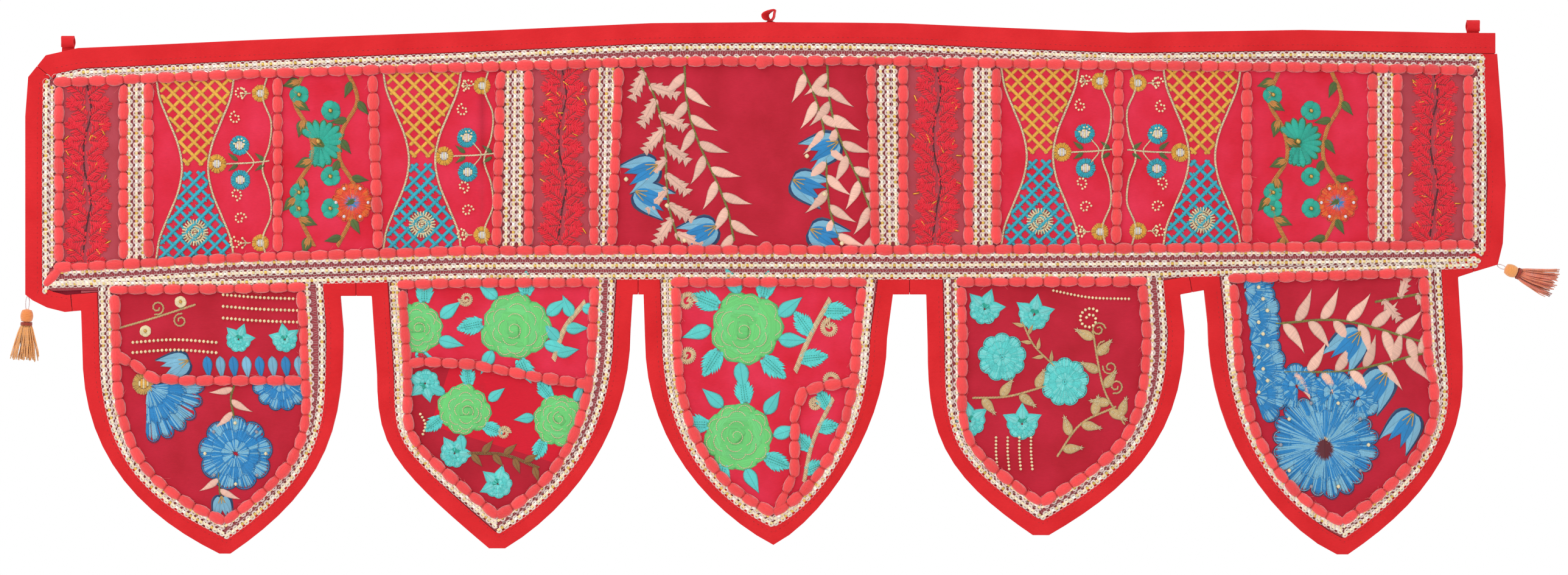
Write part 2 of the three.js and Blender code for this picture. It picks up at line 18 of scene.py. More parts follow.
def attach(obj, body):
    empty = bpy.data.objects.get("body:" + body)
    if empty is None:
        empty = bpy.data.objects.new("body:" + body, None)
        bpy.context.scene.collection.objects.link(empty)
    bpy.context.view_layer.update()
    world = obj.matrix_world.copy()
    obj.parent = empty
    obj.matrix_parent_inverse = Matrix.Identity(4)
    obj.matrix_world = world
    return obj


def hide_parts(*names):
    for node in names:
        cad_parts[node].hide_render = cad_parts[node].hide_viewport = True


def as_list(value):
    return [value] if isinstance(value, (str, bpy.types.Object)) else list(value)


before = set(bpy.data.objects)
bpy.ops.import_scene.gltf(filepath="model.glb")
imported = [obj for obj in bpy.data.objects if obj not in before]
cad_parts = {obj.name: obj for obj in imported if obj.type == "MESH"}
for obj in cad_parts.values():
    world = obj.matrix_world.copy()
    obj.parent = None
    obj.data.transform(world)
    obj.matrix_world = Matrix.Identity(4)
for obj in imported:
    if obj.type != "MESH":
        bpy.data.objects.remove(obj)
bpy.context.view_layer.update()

MM = 0.001
print("nodes in the frame:", len(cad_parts))

# %% [markdown]
# ## The sizes that everything is laid out by
# The rows across the band, the seams down it and the sides of the five pennants are the maker's chalk lines.
# Braid, yarn and stitches all follow them, so they are kept once, as short tables.

# %% Chalk lines
BINDING_WIDTH = 11.5
TOP_BINDING_WIDTH = 14.0
YARN_WIDTH = 7.0
POINT_LIFT = 22.0
LACE_FRONT = 1.5
PATCH_FRONT = 1.3
BINDING_FRONT = 1.9
YARN_BACK = 1.7
YARN_FRONT = 5.0
CLOTH_BACK = 1.2

ROW_COLUMNS = ("x", "edge", "top", "bottom", "lower")
ROWS = np.array([
    (-494, -23, -41.5, -168.5, -184.5),
    (-472, -18, -41, -168, -184),
    (-365, -13, -36, -162, -183),
    (-203, -6.5, -31, -157, -179),
    (-79, -1, -27.5, -156.5, -178.5),
    (0, 0, -26.5, -156.5, -178.5),
    (93, -1, -27, -156.5, -178.5),
    (249, -7.5, -30, -155.5, -178),
    (368, -5.5, -31, -154.5, -174.5),
    (470, -7.5, -33, -153, -171.5),
    (501, -7.5, -33.5, -152.5, -170),
])
# Seams: x at the top row, x at its foot, and the piece on its left
SEAMS = (
    (-485, -485, "lace_left"), (-441, -441, "patch_sheer_1"), (-424, -424, "lace_1"),
    (-335, -335, "patch_lattice_1"), (-270, -266, "patch_flower_1"), (-182, -185, "patch_lattice_2"),
    (-163, -163, "lace_2"), (-118, -118, "patch_sheer_2"), (-101, -106, "lace_3"),
    (72, 75, "patch_centre"), (94, 94, "lace_4"), (139, 139, "patch_sheer_3"),
    (158, 158, "lace_5"), (242, 240, "patch_lattice_3"), (330, 330, "patch_lattice_4"),
    (416, 416, "patch_flower_2"), (433, 433, "lace_6"), (482, 482, "patch_sheer_4"),
)
LEFT_EDGE = ((-500, -30.5), (-506, -38), (-508, -65), (-508, -187), (-503, -191), (-493, -196),
             (-476, -198.5))
RIGHT_EDGE = ((501, -7.5), (506, -73), (508, -112), (506, -152), (502.5, -166.5), (486, -171.5))
# Sides: head x, head z, shoulder x, shoulder z, belly, slope, run, lace
PENNANTS = (
    dict(name="pennant_1", point=(-372, -365), blunt=7.5, sway=-2, curl=3,
         left=(-470, -198, -469, -224, 84, 26, 46, 23), right=(-292, -188, -290, -211, 60, 34, 88, 27)),
    dict(name="pennant_2", point=(-184.5, -361), blunt=11, sway=1.5, curl=-2.5,
         left=(-270.5, -188, -267, -242, 48, 40, 90, 21), right=(-91.5, -187, -93, -211, 88, 30, 28, 26)),
    dict(name="pennant_3", point=(5, -359), blunt=0, sway=-1.5, curl=2,
         left=(-84, -187, -83, -217, 88, 26, 22, 22), right=(87, -187, 83, -217, 64, 26, 34, 21)),
    dict(name="pennant_4", point=(188.5, -352), blunt=11, sway=2, curl=-2,
         left=(110, -187, 111, -222, 60, 34, 76, 24), right=(284, -187, 287, -212, 68, 30, 70, 26)),
    dict(name="pennant_5", point=(395, -365), blunt=7.5, sway=-1, curl=-3,
         left=(300.5, -184, 303, -207, 92, 22, 28, 20), right=(475, -175, 478, -224, 28, 34, 106, 24)),
)
PENNANT_SEAMS = dict(
    pennant_1=((-447, -228), (-432, -236), (-421, -244), (-400, -246), (-318, -246)),
    pennant_2=((-246, -235), (-236, -233), (-202, -235), (-155, -244), (-119, -249)),
    pennant_3=((8, -334), (12, -326), (19.5, -308), (20, -269), (25, -254), (37, -250), (64, -246)),
)


def row_height(column, x):
    return np.interp(x, ROWS[:, 0], ROWS[:, ROW_COLUMNS.index(column)])


print("seams:", len(SEAMS), "pennants:", len(PENNANTS))

# %% [markdown]
# ## How the cloth hangs
# The frame bends every layer along the same straight folds. Real cloth turns softly over them and carries
# small creases besides, so this function gives the depth of the cloth at any place: the folds eased into
# curves, each pennant's lean, and a few listed creases. Every layer and every stitch uses this one
# function, so the room between the layers stays as it is in the frame.

# %% Folds, leans and creases
FOLD_X = (-600, -508, -410, -300, -195, -80, -3.5, 65, 165, 270, 345, 430, 508, 600)
FOLD_BACK = (-1, -1.5, 1.5, -1.5, 1, -1.5, 2.5, -1, 1.5, -2.5, 0.5, -1, 2, 2)
SWAY_START, SWAY_HEIGHT, CURL_HEIGHT = -200, -268, -366
NOTCHES = (-281, -89, 98, 293)
# Creases: x, z, turn, half length, half width, rise
CREASES = (
    (-471, -150, 60, 22, 5, 0.5), (-412, -96, 78, 26, 4, 0.6), (-405, -75, 12, 22, 4, -0.4),
    (-352, -140, 65, 20, 5, -0.5), (-303, -120, 96, 34, 7, 0.7), (-285, -60, 30, 20, 5, -0.5),
    (-229, -120, 80, 26, 5, 0.4), (-140, -95, 85, 40, 6, 0.5), (-60, -75, 8, 26, 5, -0.5),
    (-7, -92, 88, 46, 5, 0.9), (14, -60, 100, 34, 5, -0.6), (24, -118, 6, 22, 4, 0.4),
    (-18, -136, 84, 22, 6, 0.7), (52, -66, 40, 24, 5, 0.5), (117, -110, 92, 30, 6, -0.4),
    (205, -120, 76, 24, 5, 0.5), (272, -90, 88, 44, 6, 0.9), (281, -128, 20, 20, 4, 0.5),
    (352, -120, 95, 30, 6, 0.6), (460, -100, 88, 34, 6, 0.5),
    (-420, -210, 15, 26, 6, 0.5), (-350, -300, 100, 34, 6, 0.7), (-396, -262, 55, 26, 5, -0.6),
    (-206, -300, 85, 30, 6, -0.6), (-150, -215, 25, 26, 6, 0.6), (-7, -300, 92, 40, 7, 0.8),
    (40, -215, 150, 26, 6, -0.5), (150, -250, 70, 30, 6, 0.6), (224, -215, 10, 26, 6, 0.5),
    (262, -240, 95, 30, 5, -0.5), (372, -300, 80, 32, 7, 0.6), (440, -240, 120, 26, 6, 0.5),
)


def eased(x, knots, values):
    """Like np.interp, but it turns softly at each knot."""
    knots, values = np.asarray(knots, float), np.asarray(values, float)
    i = np.clip(np.searchsorted(knots, x) - 1, 0, len(knots) - 2)
    share = np.clip((x - knots[i]) / (knots[i + 1] - knots[i]), 0, 1)
    return values[i] + (values[i + 1] - values[i]) * (0.5 - 0.5 * np.cos(np.pi * share))


def lean(x, z, between):
    total = np.zeros(np.shape(x))
    which = np.searchsorted(NOTCHES, x)
    for i, pennant in enumerate(PENNANTS):
        heights, depths = (CURL_HEIGHT, SWAY_HEIGHT, SWAY_START), (pennant["curl"], pennant["sway"], 0)
        total += np.where(which == i, between(z, heights, depths), 0)
    return total


def cad_depth(x, z):
    """How far back the frame's own straight folds put the cloth."""
    return np.interp(x, FOLD_X, FOLD_BACK) + lean(x, z, np.interp)


def depth(x, z):
    """How far back the cloth lies, with its soft folds and its creases."""
    back = eased(x, FOLD_X, FOLD_BACK) + lean(x, z, eased)
    for crease_x, crease_z, turn, half_length, half_width, rise in CREASES:
        c, s = math.cos(math.radians(turn)), math.sin(math.radians(turn))
        along = ((x - crease_x) * c + (z - crease_z) * s) / half_length
        across = ((z - crease_z) * c - (x - crease_x) * s) / half_width
        back = back - rise * np.exp(-(along**2) - across**2)
    return back


apart = depth(ROWS[:, 0], ROWS[:, 2]) - cad_depth(ROWS[:, 0], ROWS[:, 2])
print("soft folds leave the straight ones by at most", round(float(abs(apart).max()), 2), "mm on the top row")

# %% [markdown]
# ## A bench for dyeing and finishing
# Every finish is a small net of shader nodes. Written out one node at a time it hides the idea, so two
# classes carry the work. `Value` wraps one output of a node, and plain arithmetic on it adds Math nodes.
# `Finish` makes any other node from its type, its settings and its inputs.

# %% Shader arithmetic
def colour(red, green, blue):
    """A colour as it is picked on a screen, 0 to 255, turned into the linear numbers that a shader needs."""
    def linear(c):
        c = c / 255
        return c / 12.92 if c <= 0.04045 else ((c + 0.055) / 1.055) ** 2.4
    return (linear(red), linear(green), linear(blue), 1.0)


class Value:
    """One output of a node. Operators on it add Math nodes."""

    def __init__(self, finish, socket):
        self.finish = finish
        self.socket = socket

    def maths(self, operation, *values, clamp=False):
        settings = {"operation": operation, "use_clamp": clamp}
        return self.finish.node("ShaderNodeMath", settings, dict(enumerate(values)))

    def sine(self):
        return self.maths("SINE", self)

    def size(self):
        return self.maths("ABSOLUTE", self)

    def whole(self):
        return self.maths("FLOOR", self)

    def held(self):
        return self.maths("ADD", self, 0.0, clamp=True)

    def __gt__(self, other):
        return self.maths("GREATER_THAN", self, other)


def overload(sign, operation):
    """Lets a sign add its Math node, with the value on its left or on its right."""
    setattr(Value, f"__{sign}__", lambda value, other: value.maths(operation, value, other))
    setattr(Value, f"__r{sign}__", lambda value, other: value.maths(operation, other, value))


for sign, operation in (("add", "ADD"), ("sub", "SUBTRACT"), ("mul", "MULTIPLY"), ("truediv", "DIVIDE")):
    overload(sign, operation)


class Finish:
    """A material in the making, which ends in a Principled shader."""

    def __init__(self, name, **constants):
        self.material = bpy.data.materials.new(name)
        self.material.use_nodes = True
        self.tree = self.material.node_tree
        self.shader = self.tree.nodes["Principled BSDF"]
        for socket, value in constants.items():
            self.shader.inputs[socket.replace("_", " ")].default_value = value

    def node(self, kind, settings=None, inputs=None, output=0):
        made = self.tree.nodes.new(kind)
        for setting, value in (settings or {}).items():
            setattr(made, setting, value)
        for key, value in (inputs or {}).items():
            if isinstance(value, Value):
                self.tree.links.new(value.socket, made.inputs[key])
            else:
                made.inputs[key].default_value = value
        return Value(self, made.outputs[output])

    def parts(self, vector):
        kind = "ShaderNodeSeparateXYZ"
        return [self.node(kind, None, {0: vector}, axis) for axis in range(3)]

    def millimetres(self):
        """The place on the object, in millimetres."""
        place = self.node("ShaderNodeTexCoord", output=3)
        return self.scaled(place, (1 / MM,) * 3)

    def scaled(self, vector, by):
        return self.node("ShaderNodeVectorMath", {"operation": "MULTIPLY"}, {0: vector, 1: by})

    def thread_map(self):
        """Along the thread and across it, in millimetres, from the piece's own UV map."""
        return self.scaled(self.node("ShaderNodeUVMap", {"uv_map": "threads"}), (1 / MM,) * 3)

    def tint(self, output=0):
        """The dye of each stitch, which is kept with its points."""
        return self.node("ShaderNodeAttribute", {"attribute_name": "tint"}, None, output)

    def noise(self, vector, scale, detail=2.0):
        return self.node("ShaderNodeTexNoise", None, {"Vector": vector, "Scale": scale, "Detail": detail})

    def by_chance(self, vector):
        return self.node("ShaderNodeTexWhiteNoise", {"noise_dimensions": "2D"}, {0: vector}, 0)

    def mix(self, share, first, second):
        return self.node("ShaderNodeMix", {"data_type": "RGBA"}, {0: share, 6: first, 7: second}, 2)

    def shaded(self, base, amount):
        """A colour made lighter or darker by a factor that may change from place to place."""
        grey = self.node("ShaderNodeCombineXYZ", None, {0: amount, 1: amount, 2: amount})
        return self.node("ShaderNodeVectorMath", {"operation": "MULTIPLY"}, {0: base, 1: grey})

    def end(self, base, roughness=None, height=None, relief=0.2):
        """Links the colour, the roughness and the relief, whose full height is given in millimetres."""
        def link(value, socket):
            self.tree.links.new(value.socket, self.shader.inputs[socket])
        link(base, "Base Color")
        if roughness is not None:
            link(roughness, "Roughness")
        if height is not None:
            bump = {"Strength": 1.0, "Distance": relief * MM, "Height": height}
            link(self.node("ShaderNodeBump", None, bump), "Normal")
        print("finish:", self.material.name)
        return self.material


# %% [markdown]
# ## Cotton, net and braid ground
# Plain cotton is two sets of threads that pass over and under each other. Multiplying two sine waves gives
# that checker of crowns, and two noises do the rest: a long thin one for thick and thin threads, and a broad
# one for the way that dye and handling leave a cloth uneven. The cloths differ in pitch, dye and wear alone,
# so one function makes them all.

# %% Woven finishes
TURN = 2 * math.pi


def cotton(name, dye, worn, pitch, relief, smudge=0.5, sheen=0.1, joined=None):
    finish = Finish(name, Roughness=0.85, Sheen_Weight=sheen, Sheen_Roughness=0.5, Specular_IOR_Level=0.25)
    place = finish.millimetres()
    x, _, z = finish.parts(place)
    crowns = (x * (TURN / pitch)).sine() * (z * (TURN / pitch)).sine()
    slub = finish.noise(finish.scaled(place, (0.25, 1, 1)), 1.6)
    wear = finish.noise(place, 0.035, 4.0)
    marks = ((finish.noise(place, 0.11, 3.0) - 0.6) * 5).held() * smudge
    base = finish.mix((wear * 2.4 - 0.7).held(), dye, worn)
    base = finish.mix(marks * 0.5, base, worn)
    if joined:
        bright = (x - z * 0.33 + 139 > 0) * (z + x * 0.3 + 346 > 0)
        base = finish.mix(bright, base, joined)
    base = finish.shaded(base, 0.9 + slub * 0.2 + crowns * 0.06)
    roughness = 0.74 + wear * 0.2
    return finish.end(base, roughness, crowns * 0.5 + slub * 1.2, relief)


binding_cotton = cotton("binding cotton", colour(206, 20, 28), colour(220, 36, 42), 0.85, 0.12)
ground_cotton = cotton("maroon ground cloth", colour(118, 16, 34), colour(142, 28, 48), 0.7, 0.1)
CRIMSON = colour(206, 20, 44)
crimson_cotton = cotton("crimson patch cotton", CRIMSON, colour(222, 48, 78), 0.6, 0.08)
maroon_cotton = cotton("deep red patch cotton", colour(172, 16, 38), colour(192, 32, 56), 0.6, 0.08)
pieced_cotton = cotton("two joined patch cottons", colour(164, 14, 36), colour(184, 28, 50), 0.6, 0.08,
                       joined=CRIMSON)


def net():
    """Fine netting over deep red cloth: its threads are pale, so it looks dusty."""
    finish = Finish("dusty red net", Roughness=0.8, Sheen_Weight=0.35, Specular_IOR_Level=0.3)
    place = finish.millimetres()
    x, _, z = finish.parts(place)
    first = ((x + z) * (TURN / 1.3)).sine().size()
    second = ((x - z) * (TURN / 1.3)).sine().size()
    mesh = ((0.35 - first * second) * 4).held()
    cloud = (finish.noise(place, 0.06, 3.0) * 2.2 - 0.6).held()
    base = finish.mix(cloud, colour(176, 30, 50), colour(192, 62, 80))
    base = finish.mix(mesh * 0.3, base, colour(214, 120, 128))
    return finish.end(base, 0.7 + cloud * 0.15, mesh + finish.noise(place, 1.0), 0.12)


sheer_net = net()


def braid_ground():
    """The braid's own close net of pink threads over maroon."""
    finish = Finish("braid ground", Roughness=0.8, Sheen_Weight=0.2)
    place = finish.millimetres()
    x, _, z = finish.parts(place)
    wires = ((x * (TURN / 1.5)).sine() * (z * (TURN / 1.5)).sine()).size()
    threads = ((wires - 0.62) * 5).held() * finish.noise(place, 0.8)
    base = finish.mix(threads * 0.85, colour(150, 24, 44), colour(230, 176, 172))
    base = finish.shaded(base, 0.85 + finish.noise(place, 0.7) * 0.3)
    return finish.end(base, 0.75 + threads * 0.1, threads, 0.3)


braid_net = braid_ground()

# %% [markdown]
# ## Thread, metal and fluffy yarn
# Embroidery is read through its threads. Each stitched shape carries a small map of its own, along and
# across, in real millimetres, so the threads keep their thickness on a long leaf and on a short one. Its dye
# is kept with its points. In the fourth channel of that dye the slant of the stitches is kept: nought for
# satin stitch straight across, one for leaves whose stitches meet at a middle rib.

# %% Thread finishes
def floss(name, pitch, relief, sheen, roughness):
    finish = Finish(name, Sheen_Weight=sheen, Sheen_Roughness=0.35, Specular_IOR_Level=0.45)
    along, across, _ = finish.parts(finish.thread_map())
    slant = finish.tint(3)
    way = along + across.size() * slant * 0.9
    count = way / pitch
    wobble = finish.noise(finish.thread_map(), 0.5)
    strands = ((count + wobble * 0.6) * TURN).sine()
    rib = (across.size() * 2.2).held()
    stitch_number = {0: (count + wobble * 0.6).whole(), 1: slant}
    each = finish.by_chance(finish.node("ShaderNodeCombineXYZ", None, stitch_number))
    # Along the middle rib of a slanted leaf the colour is darkened: painted shade in the groove where the
    # stitches meet. The same groove also sets the relief.
    rib_groove_and_shade = rib * slant + (1 - slant)
    base = finish.shaded(finish.tint(), (0.86 + strands * 0.1 + each * 0.16) * (0.72 + rib_groove_and_shade * 0.28))
    return finish.end(base, roughness + each * 0.15, strands * 0.5 + rib_groove_and_shade * 1.2, relief)


silk = floss("embroidery floss", 0.62, 0.16, 0.3, 0.42)
wool = floss("chain stitch cotton", 0.8, 0.2, 0.3, 0.6)


def fluff():
    """Loosely twisted soft yarn: fine fibres that run along it and catch the light."""
    finish = Finish("soft coral yarn", Roughness=0.9, Sheen_Weight=0.6, Sheen_Roughness=0.45,
                    Specular_IOR_Level=0.2, Subsurface_Weight=0.08)
    place = finish.thread_map()
    fibres = finish.noise(finish.scaled(place, (0.14, 1.0, 1)), 3.2, 4.0)
    clumps = finish.noise(finish.scaled(place, (0.3, 1.0, 1)), 0.7, 2.0)
    base = finish.shaded(finish.tint(), 0.74 + fibres * 0.36 + clumps * 0.16)
    return finish.end(base, 0.8 + fibres * 0.2, fibres + clumps * 1.4, 0.5)


coral_yarn = fluff()


def metal(name, metallic, roughness):
    """Wrapped metal thread, beads and spangles: bright, but a little tarnished and scratched."""
    finish = Finish(name, Metallic=metallic, Specular_IOR_Level=0.5)
    place = finish.millimetres()
    tarnish = finish.noise(place, 0.9, 3.0)
    base = finish.shaded(finish.tint(), 0.8 + tarnish * 0.35)
    return finish.end(base, roughness + tarnish * 0.2, tarnish, 0.08)


bead_gold = metal("beads and spangles", 0.75, 0.2)
pearl = metal("cream chain stitch", 0.0, 0.45)


def gimp():
    """The braid's cord: two strands side by side, wound with rayon."""
    finish = Finish("braid cord", Sheen_Weight=0.25, Specular_IOR_Level=0.5)
    along, around, _ = finish.parts(finish.thread_map())
    winding = ((along + around * 0.5) * (TURN / 0.55)).sine()
    patch = finish.noise(finish.millimetres(), 0.4)
    base = finish.shaded(finish.tint(), 0.92 + winding * 0.04 + patch * 0.14)
    return finish.end(base, 0.45 + patch * 0.2, winding, 0.06)


braid_cord = gimp()

# %% [markdown]
# ## Keeping each piece in its place
# Every piece is told three things: the body that it rides on, the solid that it stands for, and the finish
# that it takes. Stitches and beads stand for no solid, so they are only noted against the cloth that they
# are sewn to.

# %% Pieces
sewn_on = {}
cloths = {}


def keep(name, mesh, finish, slot, node=None, on=None):
    mesh.materials.clear()
    mesh.materials.append(finish)
    mesh.name = name
    piece = bpy.data.objects.new(name, mesh)
    bpy.context.scene.collection.objects.link(piece)
    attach(piece, "root")
    if node:
        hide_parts(node)
    if on:
        sewn_on.setdefault(on, []).append(piece)
    return piece


# %% [markdown]
# ## The cloths
# A maker cuts these from cotton a millimetre thick. The frame holds the cut shapes, so each one is copied.
# Its triangles are first dissolved into plain faces, the raw edges are rounded with a bevel, and parallel
# cuts divide the cloth into small squares, which the soft folds can then bend.

# %% Copies of the cut cloths
def cut_across(cloth, axis, pitch):
    """Divides a mesh with planes along one axis, so that it can bend."""
    places = [vert.co[axis] for vert in cloth.verts]
    side = Vector([axis == i for i in range(3)])
    for step in range(math.ceil(min(places) / pitch), math.ceil(max(places) / pitch)):
        everything = cloth.verts[:] + cloth.edges[:] + cloth.faces[:]
        bmesh.ops.bisect_plane(cloth, geom=everything, dist=1e-5, plane_co=side * step * pitch, plane_no=side)


def cloth_from(node, rounding, pitch):
    cloth = bmesh.new()
    cloth.from_mesh(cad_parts[node].data)
    bmesh.ops.scale(cloth, vec=(1 / MM,) * 3, verts=cloth.verts)
    bmesh.ops.remove_doubles(cloth, verts=cloth.verts, dist=0.001)
    bmesh.ops.dissolve_limit(cloth, angle_limit=math.radians(0.2), verts=cloth.verts, edges=cloth.edges)
    sharp = [e for e in cloth.edges if len(e.link_faces) == 2 and e.calc_face_angle(0) > math.radians(50)]
    bmesh.ops.bevel(cloth, geom=sharp, offset=rounding, offset_type="OFFSET", segments=2, profile=0.5,
                    affect="EDGES", clamp_overlap=True, material=-1)
    cut_across(cloth, 0, pitch)
    cut_across(cloth, 2, pitch)
    places = np.array([vert.co[:] for vert in cloth.verts])
    moved = depth(places[:, 0], places[:, 2]) - cad_depth(places[:, 0], places[:, 2])
    for vert, back in zip(cloth.verts, moved):
        vert.co.y += back
    bmesh.ops.scale(cloth, vec=(MM,) * 3, verts=cloth.verts)
    mesh = bpy.data.meshes.new(node)
    cloth.to_mesh(mesh)
    cloth.free()
    mesh.shade_smooth()
    mesh.set_sharp_from_angle(angle=math.radians(40))
    return mesh


# Cloths: how the name starts, finish, slot, rounding, pitch
CLOTHS = (
    ("band_ground", ground_cotton, "backing_cloth", 0.3, 8),
    ("patch_sheer", sheer_net, "sheer_patch", 0.2, 5),
    ("patch_lattice", crimson_cotton, "lattice_patch", 0.2, 5),
    ("patch_flower", crimson_cotton, "brocade_patch", 0.2, 5),
    ("patch_centre", maroon_cotton, "brocade_patch", 0.2, 5),
    ("lace", braid_net, "lace_braid", 0.2, 8),
    ("binding", binding_cotton, "red_binding", 0.55, 5),
)
PENNANT_CLOTHS = (
    ("ground", ground_cotton, "backing_cloth", 0.3, 8),
    ("patch", maroon_cotton, "brocade_patch", 0.2, 5),
    ("lace", braid_net, "lace_braid", 0.2, 8),
)


BRIGHT_PATCHES = ("pennant_2_patch_1", "pennant_3_patch_1", "pennant_3_patch_2")


def cloth_row(node):
    kind = node.split("_", 2)[2] if node.startswith("pennant") else node
    rows = PENNANT_CLOTHS if node.startswith("pennant") else CLOTHS
    return next((row for row in rows if kind.startswith(row[0])), None)


for node in sorted(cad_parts):
    row = cloth_row(node)
    if row:
        _, finish, slot, rounding, pitch = row
        finish = crimson_cotton if node in BRIGHT_PATCHES else finish
        finish = pieced_cotton if node == "pennant_2_patch_2" else finish
        cloths[node] = keep(f"cloth_{node}", cloth_from(node, rounding, pitch), finish, slot, node=node)
faces = sum(len(piece.data.polygons) for piece in cloths.values())
print("cloths:", len(cloths), "faces:", faces)

# %% [markdown]
# ## Shapes that are repeated
# A toran has thousands of stitches, beads and tufts, and each kind has one shape. A sphere's rings, drawn
# out along one axis and pressed flat underneath, give them all: a petal, a single stitch, a bead or a puff
# of yarn differ in outline alone. The outline is a function of the way along, and it gives the half width.

# %% Pods: petals, stitches, beads and puffs
class Shape:
    """A small closed mesh: length from 0 to 1, width from -0.5 to 0.5, height from 0 to 1."""

    def __init__(self, made, thread_map=None, in_mm=False):
        self.places = np.array([vert.co[:] for vert in made.verts])
        made.verts.index_update()
        self.corners = np.array([vert.index for face in made.faces for vert in face.verts])
        self.sizes = np.array([len(face.verts) for face in made.faces])
        self.thread_map = self.places[:, :2] if thread_map is None else thread_map
        self.in_mm = in_mm
        made.free()


def pod(around, rings, outline, crown=0.5, flat=True, blunt=None):
    """A sphere's rings drawn out along one axis. A flat pod is only the upper half, over a flat underside.
    A blunt pod's rings crowd towards its ends, the more so the smaller the number is."""
    made = bmesh.new()
    bmesh.ops.create_uvsphere(made, u_segments=around, v_segments=rings, radius=1)
    for vert in made.verts:
        fall = vert.co.z
        end = abs(fall) > 0.999
        reach = math.acos(max(-1, min(1, fall))) / math.pi
        if blunt:
            reach = 0.5 - math.copysign(abs(fall)**blunt, fall) / 2
        count = round(math.atan2(vert.co.y, vert.co.x) / TURN * around) % around
        turn = math.pi * count / (around - 1) if flat else TURN * count / around
        half = outline(reach)
        vert.co = (reach, half * math.cos(turn), math.sin(turn) * (2 * half)**crown)
        if end:
            vert.co = (round(reach), 0, half if flat else 0)
    bmesh.ops.recalc_face_normals(made, faces=made.faces)
    return Shape(made)


def leaf_outline(reach):
    if not 0.001 < reach < 0.999:
        return 0.0
    return 0.5 * math.sin(math.pi * reach**0.75) ** 0.85 * min(1, 1.2 * math.sqrt(1.05 - reach))


def petal_outline(reach):
    return 0.5 * math.sin(math.pi * reach**1.7) ** 0.6 if 0.001 < reach < 0.999 else 0


def bead_outline(reach):
    return 0.5 * math.sin(math.pi * reach)


def puff_outline(reach):
    return 0.5 * (0.44 + 0.56 * max(0, math.sin(math.pi * reach)) ** 0.7)


def stitch_outline(reach):
    return 0.46 if 0.001 < reach < 0.999 else 0.1


leaf = pod(5, 8, leaf_outline)
tooth = pod(4, 5, leaf_outline)
petal = pod(5, 8, petal_outline)
stitch = pod(3, 3, stitch_outline, blunt=0.5)
strip = pod(4, 4, stitch_outline, blunt=0.2)
bead = pod(5, 5, bead_outline, crown=1)
bar = pod(4, 3, stitch_outline, blunt=0.1)
puff = pod(7, 8, puff_outline)
print("faces: leaf", len(leaf.sizes), "stitch", len(stitch.sizes), "puff", len(puff.sizes))

# %% [markdown]
# ## Cords that bend
# The braid's cords and the tassels' strands are round and bent, so they start as a circle that is extruded
# ring by ring. Afterwards each ring is set square to the line that it follows.

# %% Cords
def ring_frames(line):
    """For each point of a line: its place, and two directions square to the line."""
    ways = np.gradient(line, axis=0)
    ways /= np.linalg.norm(ways, axis=1, keepdims=True)
    side = np.cross(ways, (0, 0, 1.0))
    weak = np.linalg.norm(side, axis=1) < 0.05
    side[weak] = (1, 0, 0)
    side /= np.linalg.norm(side, axis=1, keepdims=True)
    return side, np.cross(side, ways)


def grow(made, edges):
    """Extrudes edges once: the new points, and the new edges between them."""
    grown = bmesh.ops.extrude_edge_only(made, edges=edges)["geom"]
    fresh = [item for item in grown if isinstance(item, bmesh.types.BMVert)]
    return fresh, [item for item in grown if isinstance(item, bmesh.types.BMEdge)
                   and all(vert in fresh for vert in item.verts)]


def cord(line, radius, sides, flatten=1.0):
    """A closed round cord along a line of points. radius may be one number or one for each point."""
    line = np.asarray(line, float)
    radii = np.broadcast_to(radius, len(line))
    side, up = ring_frames(line)
    made = bmesh.new()
    ring = bmesh.ops.create_circle(made, cap_ends=True, segments=sides, radius=1)["verts"]
    edges = [edge for edge in made.edges]
    rings = [ring]
    for _ in range(len(line) - 1):
        fresh, edges = grow(made, edges)
        rings.append(fresh)
    bmesh.ops.contextual_create(made, geom=edges)
    reach = np.concatenate([[0], np.cumsum(np.linalg.norm(np.diff(line, axis=0), axis=1))])
    thread_map = {}
    for i, ring in enumerate(rings):
        for j, vert in enumerate(ring):
            angle = TURN * j / sides
            out = side[i] * math.cos(angle) + up[i] * math.sin(angle) * flatten
            vert.co = line[i] + out * radii[i]
            thread_map[vert] = (reach[i], radii[i] * angle)
    bmesh.ops.recalc_face_normals(made, faces=made.faces)
    return Shape(made, np.array([thread_map[vert] for vert in made.verts]), in_mm=True)


# %% [markdown]
# ## Sewing repeats onto the cloth
# `Needlework` counts out repeats of one shape. Each has a place, a turn, a length, a width and a height, a
# bend for curved leaves, a lift above the cloth and a dye. Joining them is one step on arrays: every point
# of every repeat is turned and placed at once, and then laid back on the folds by the cloth's own depth.

# %% Needlework
rng = np.random.default_rng(7)


def aim(x, z, tip_x, tip_z):
    """The distance and the turn from one place to another."""
    return math.hypot(tip_x - x, tip_z - z), math.degrees(math.atan2(tip_z - z, tip_x - x))


def step(x, z, turn, distance):
    return x + math.cos(math.radians(turn)) * distance, z + math.sin(math.radians(turn)) * distance


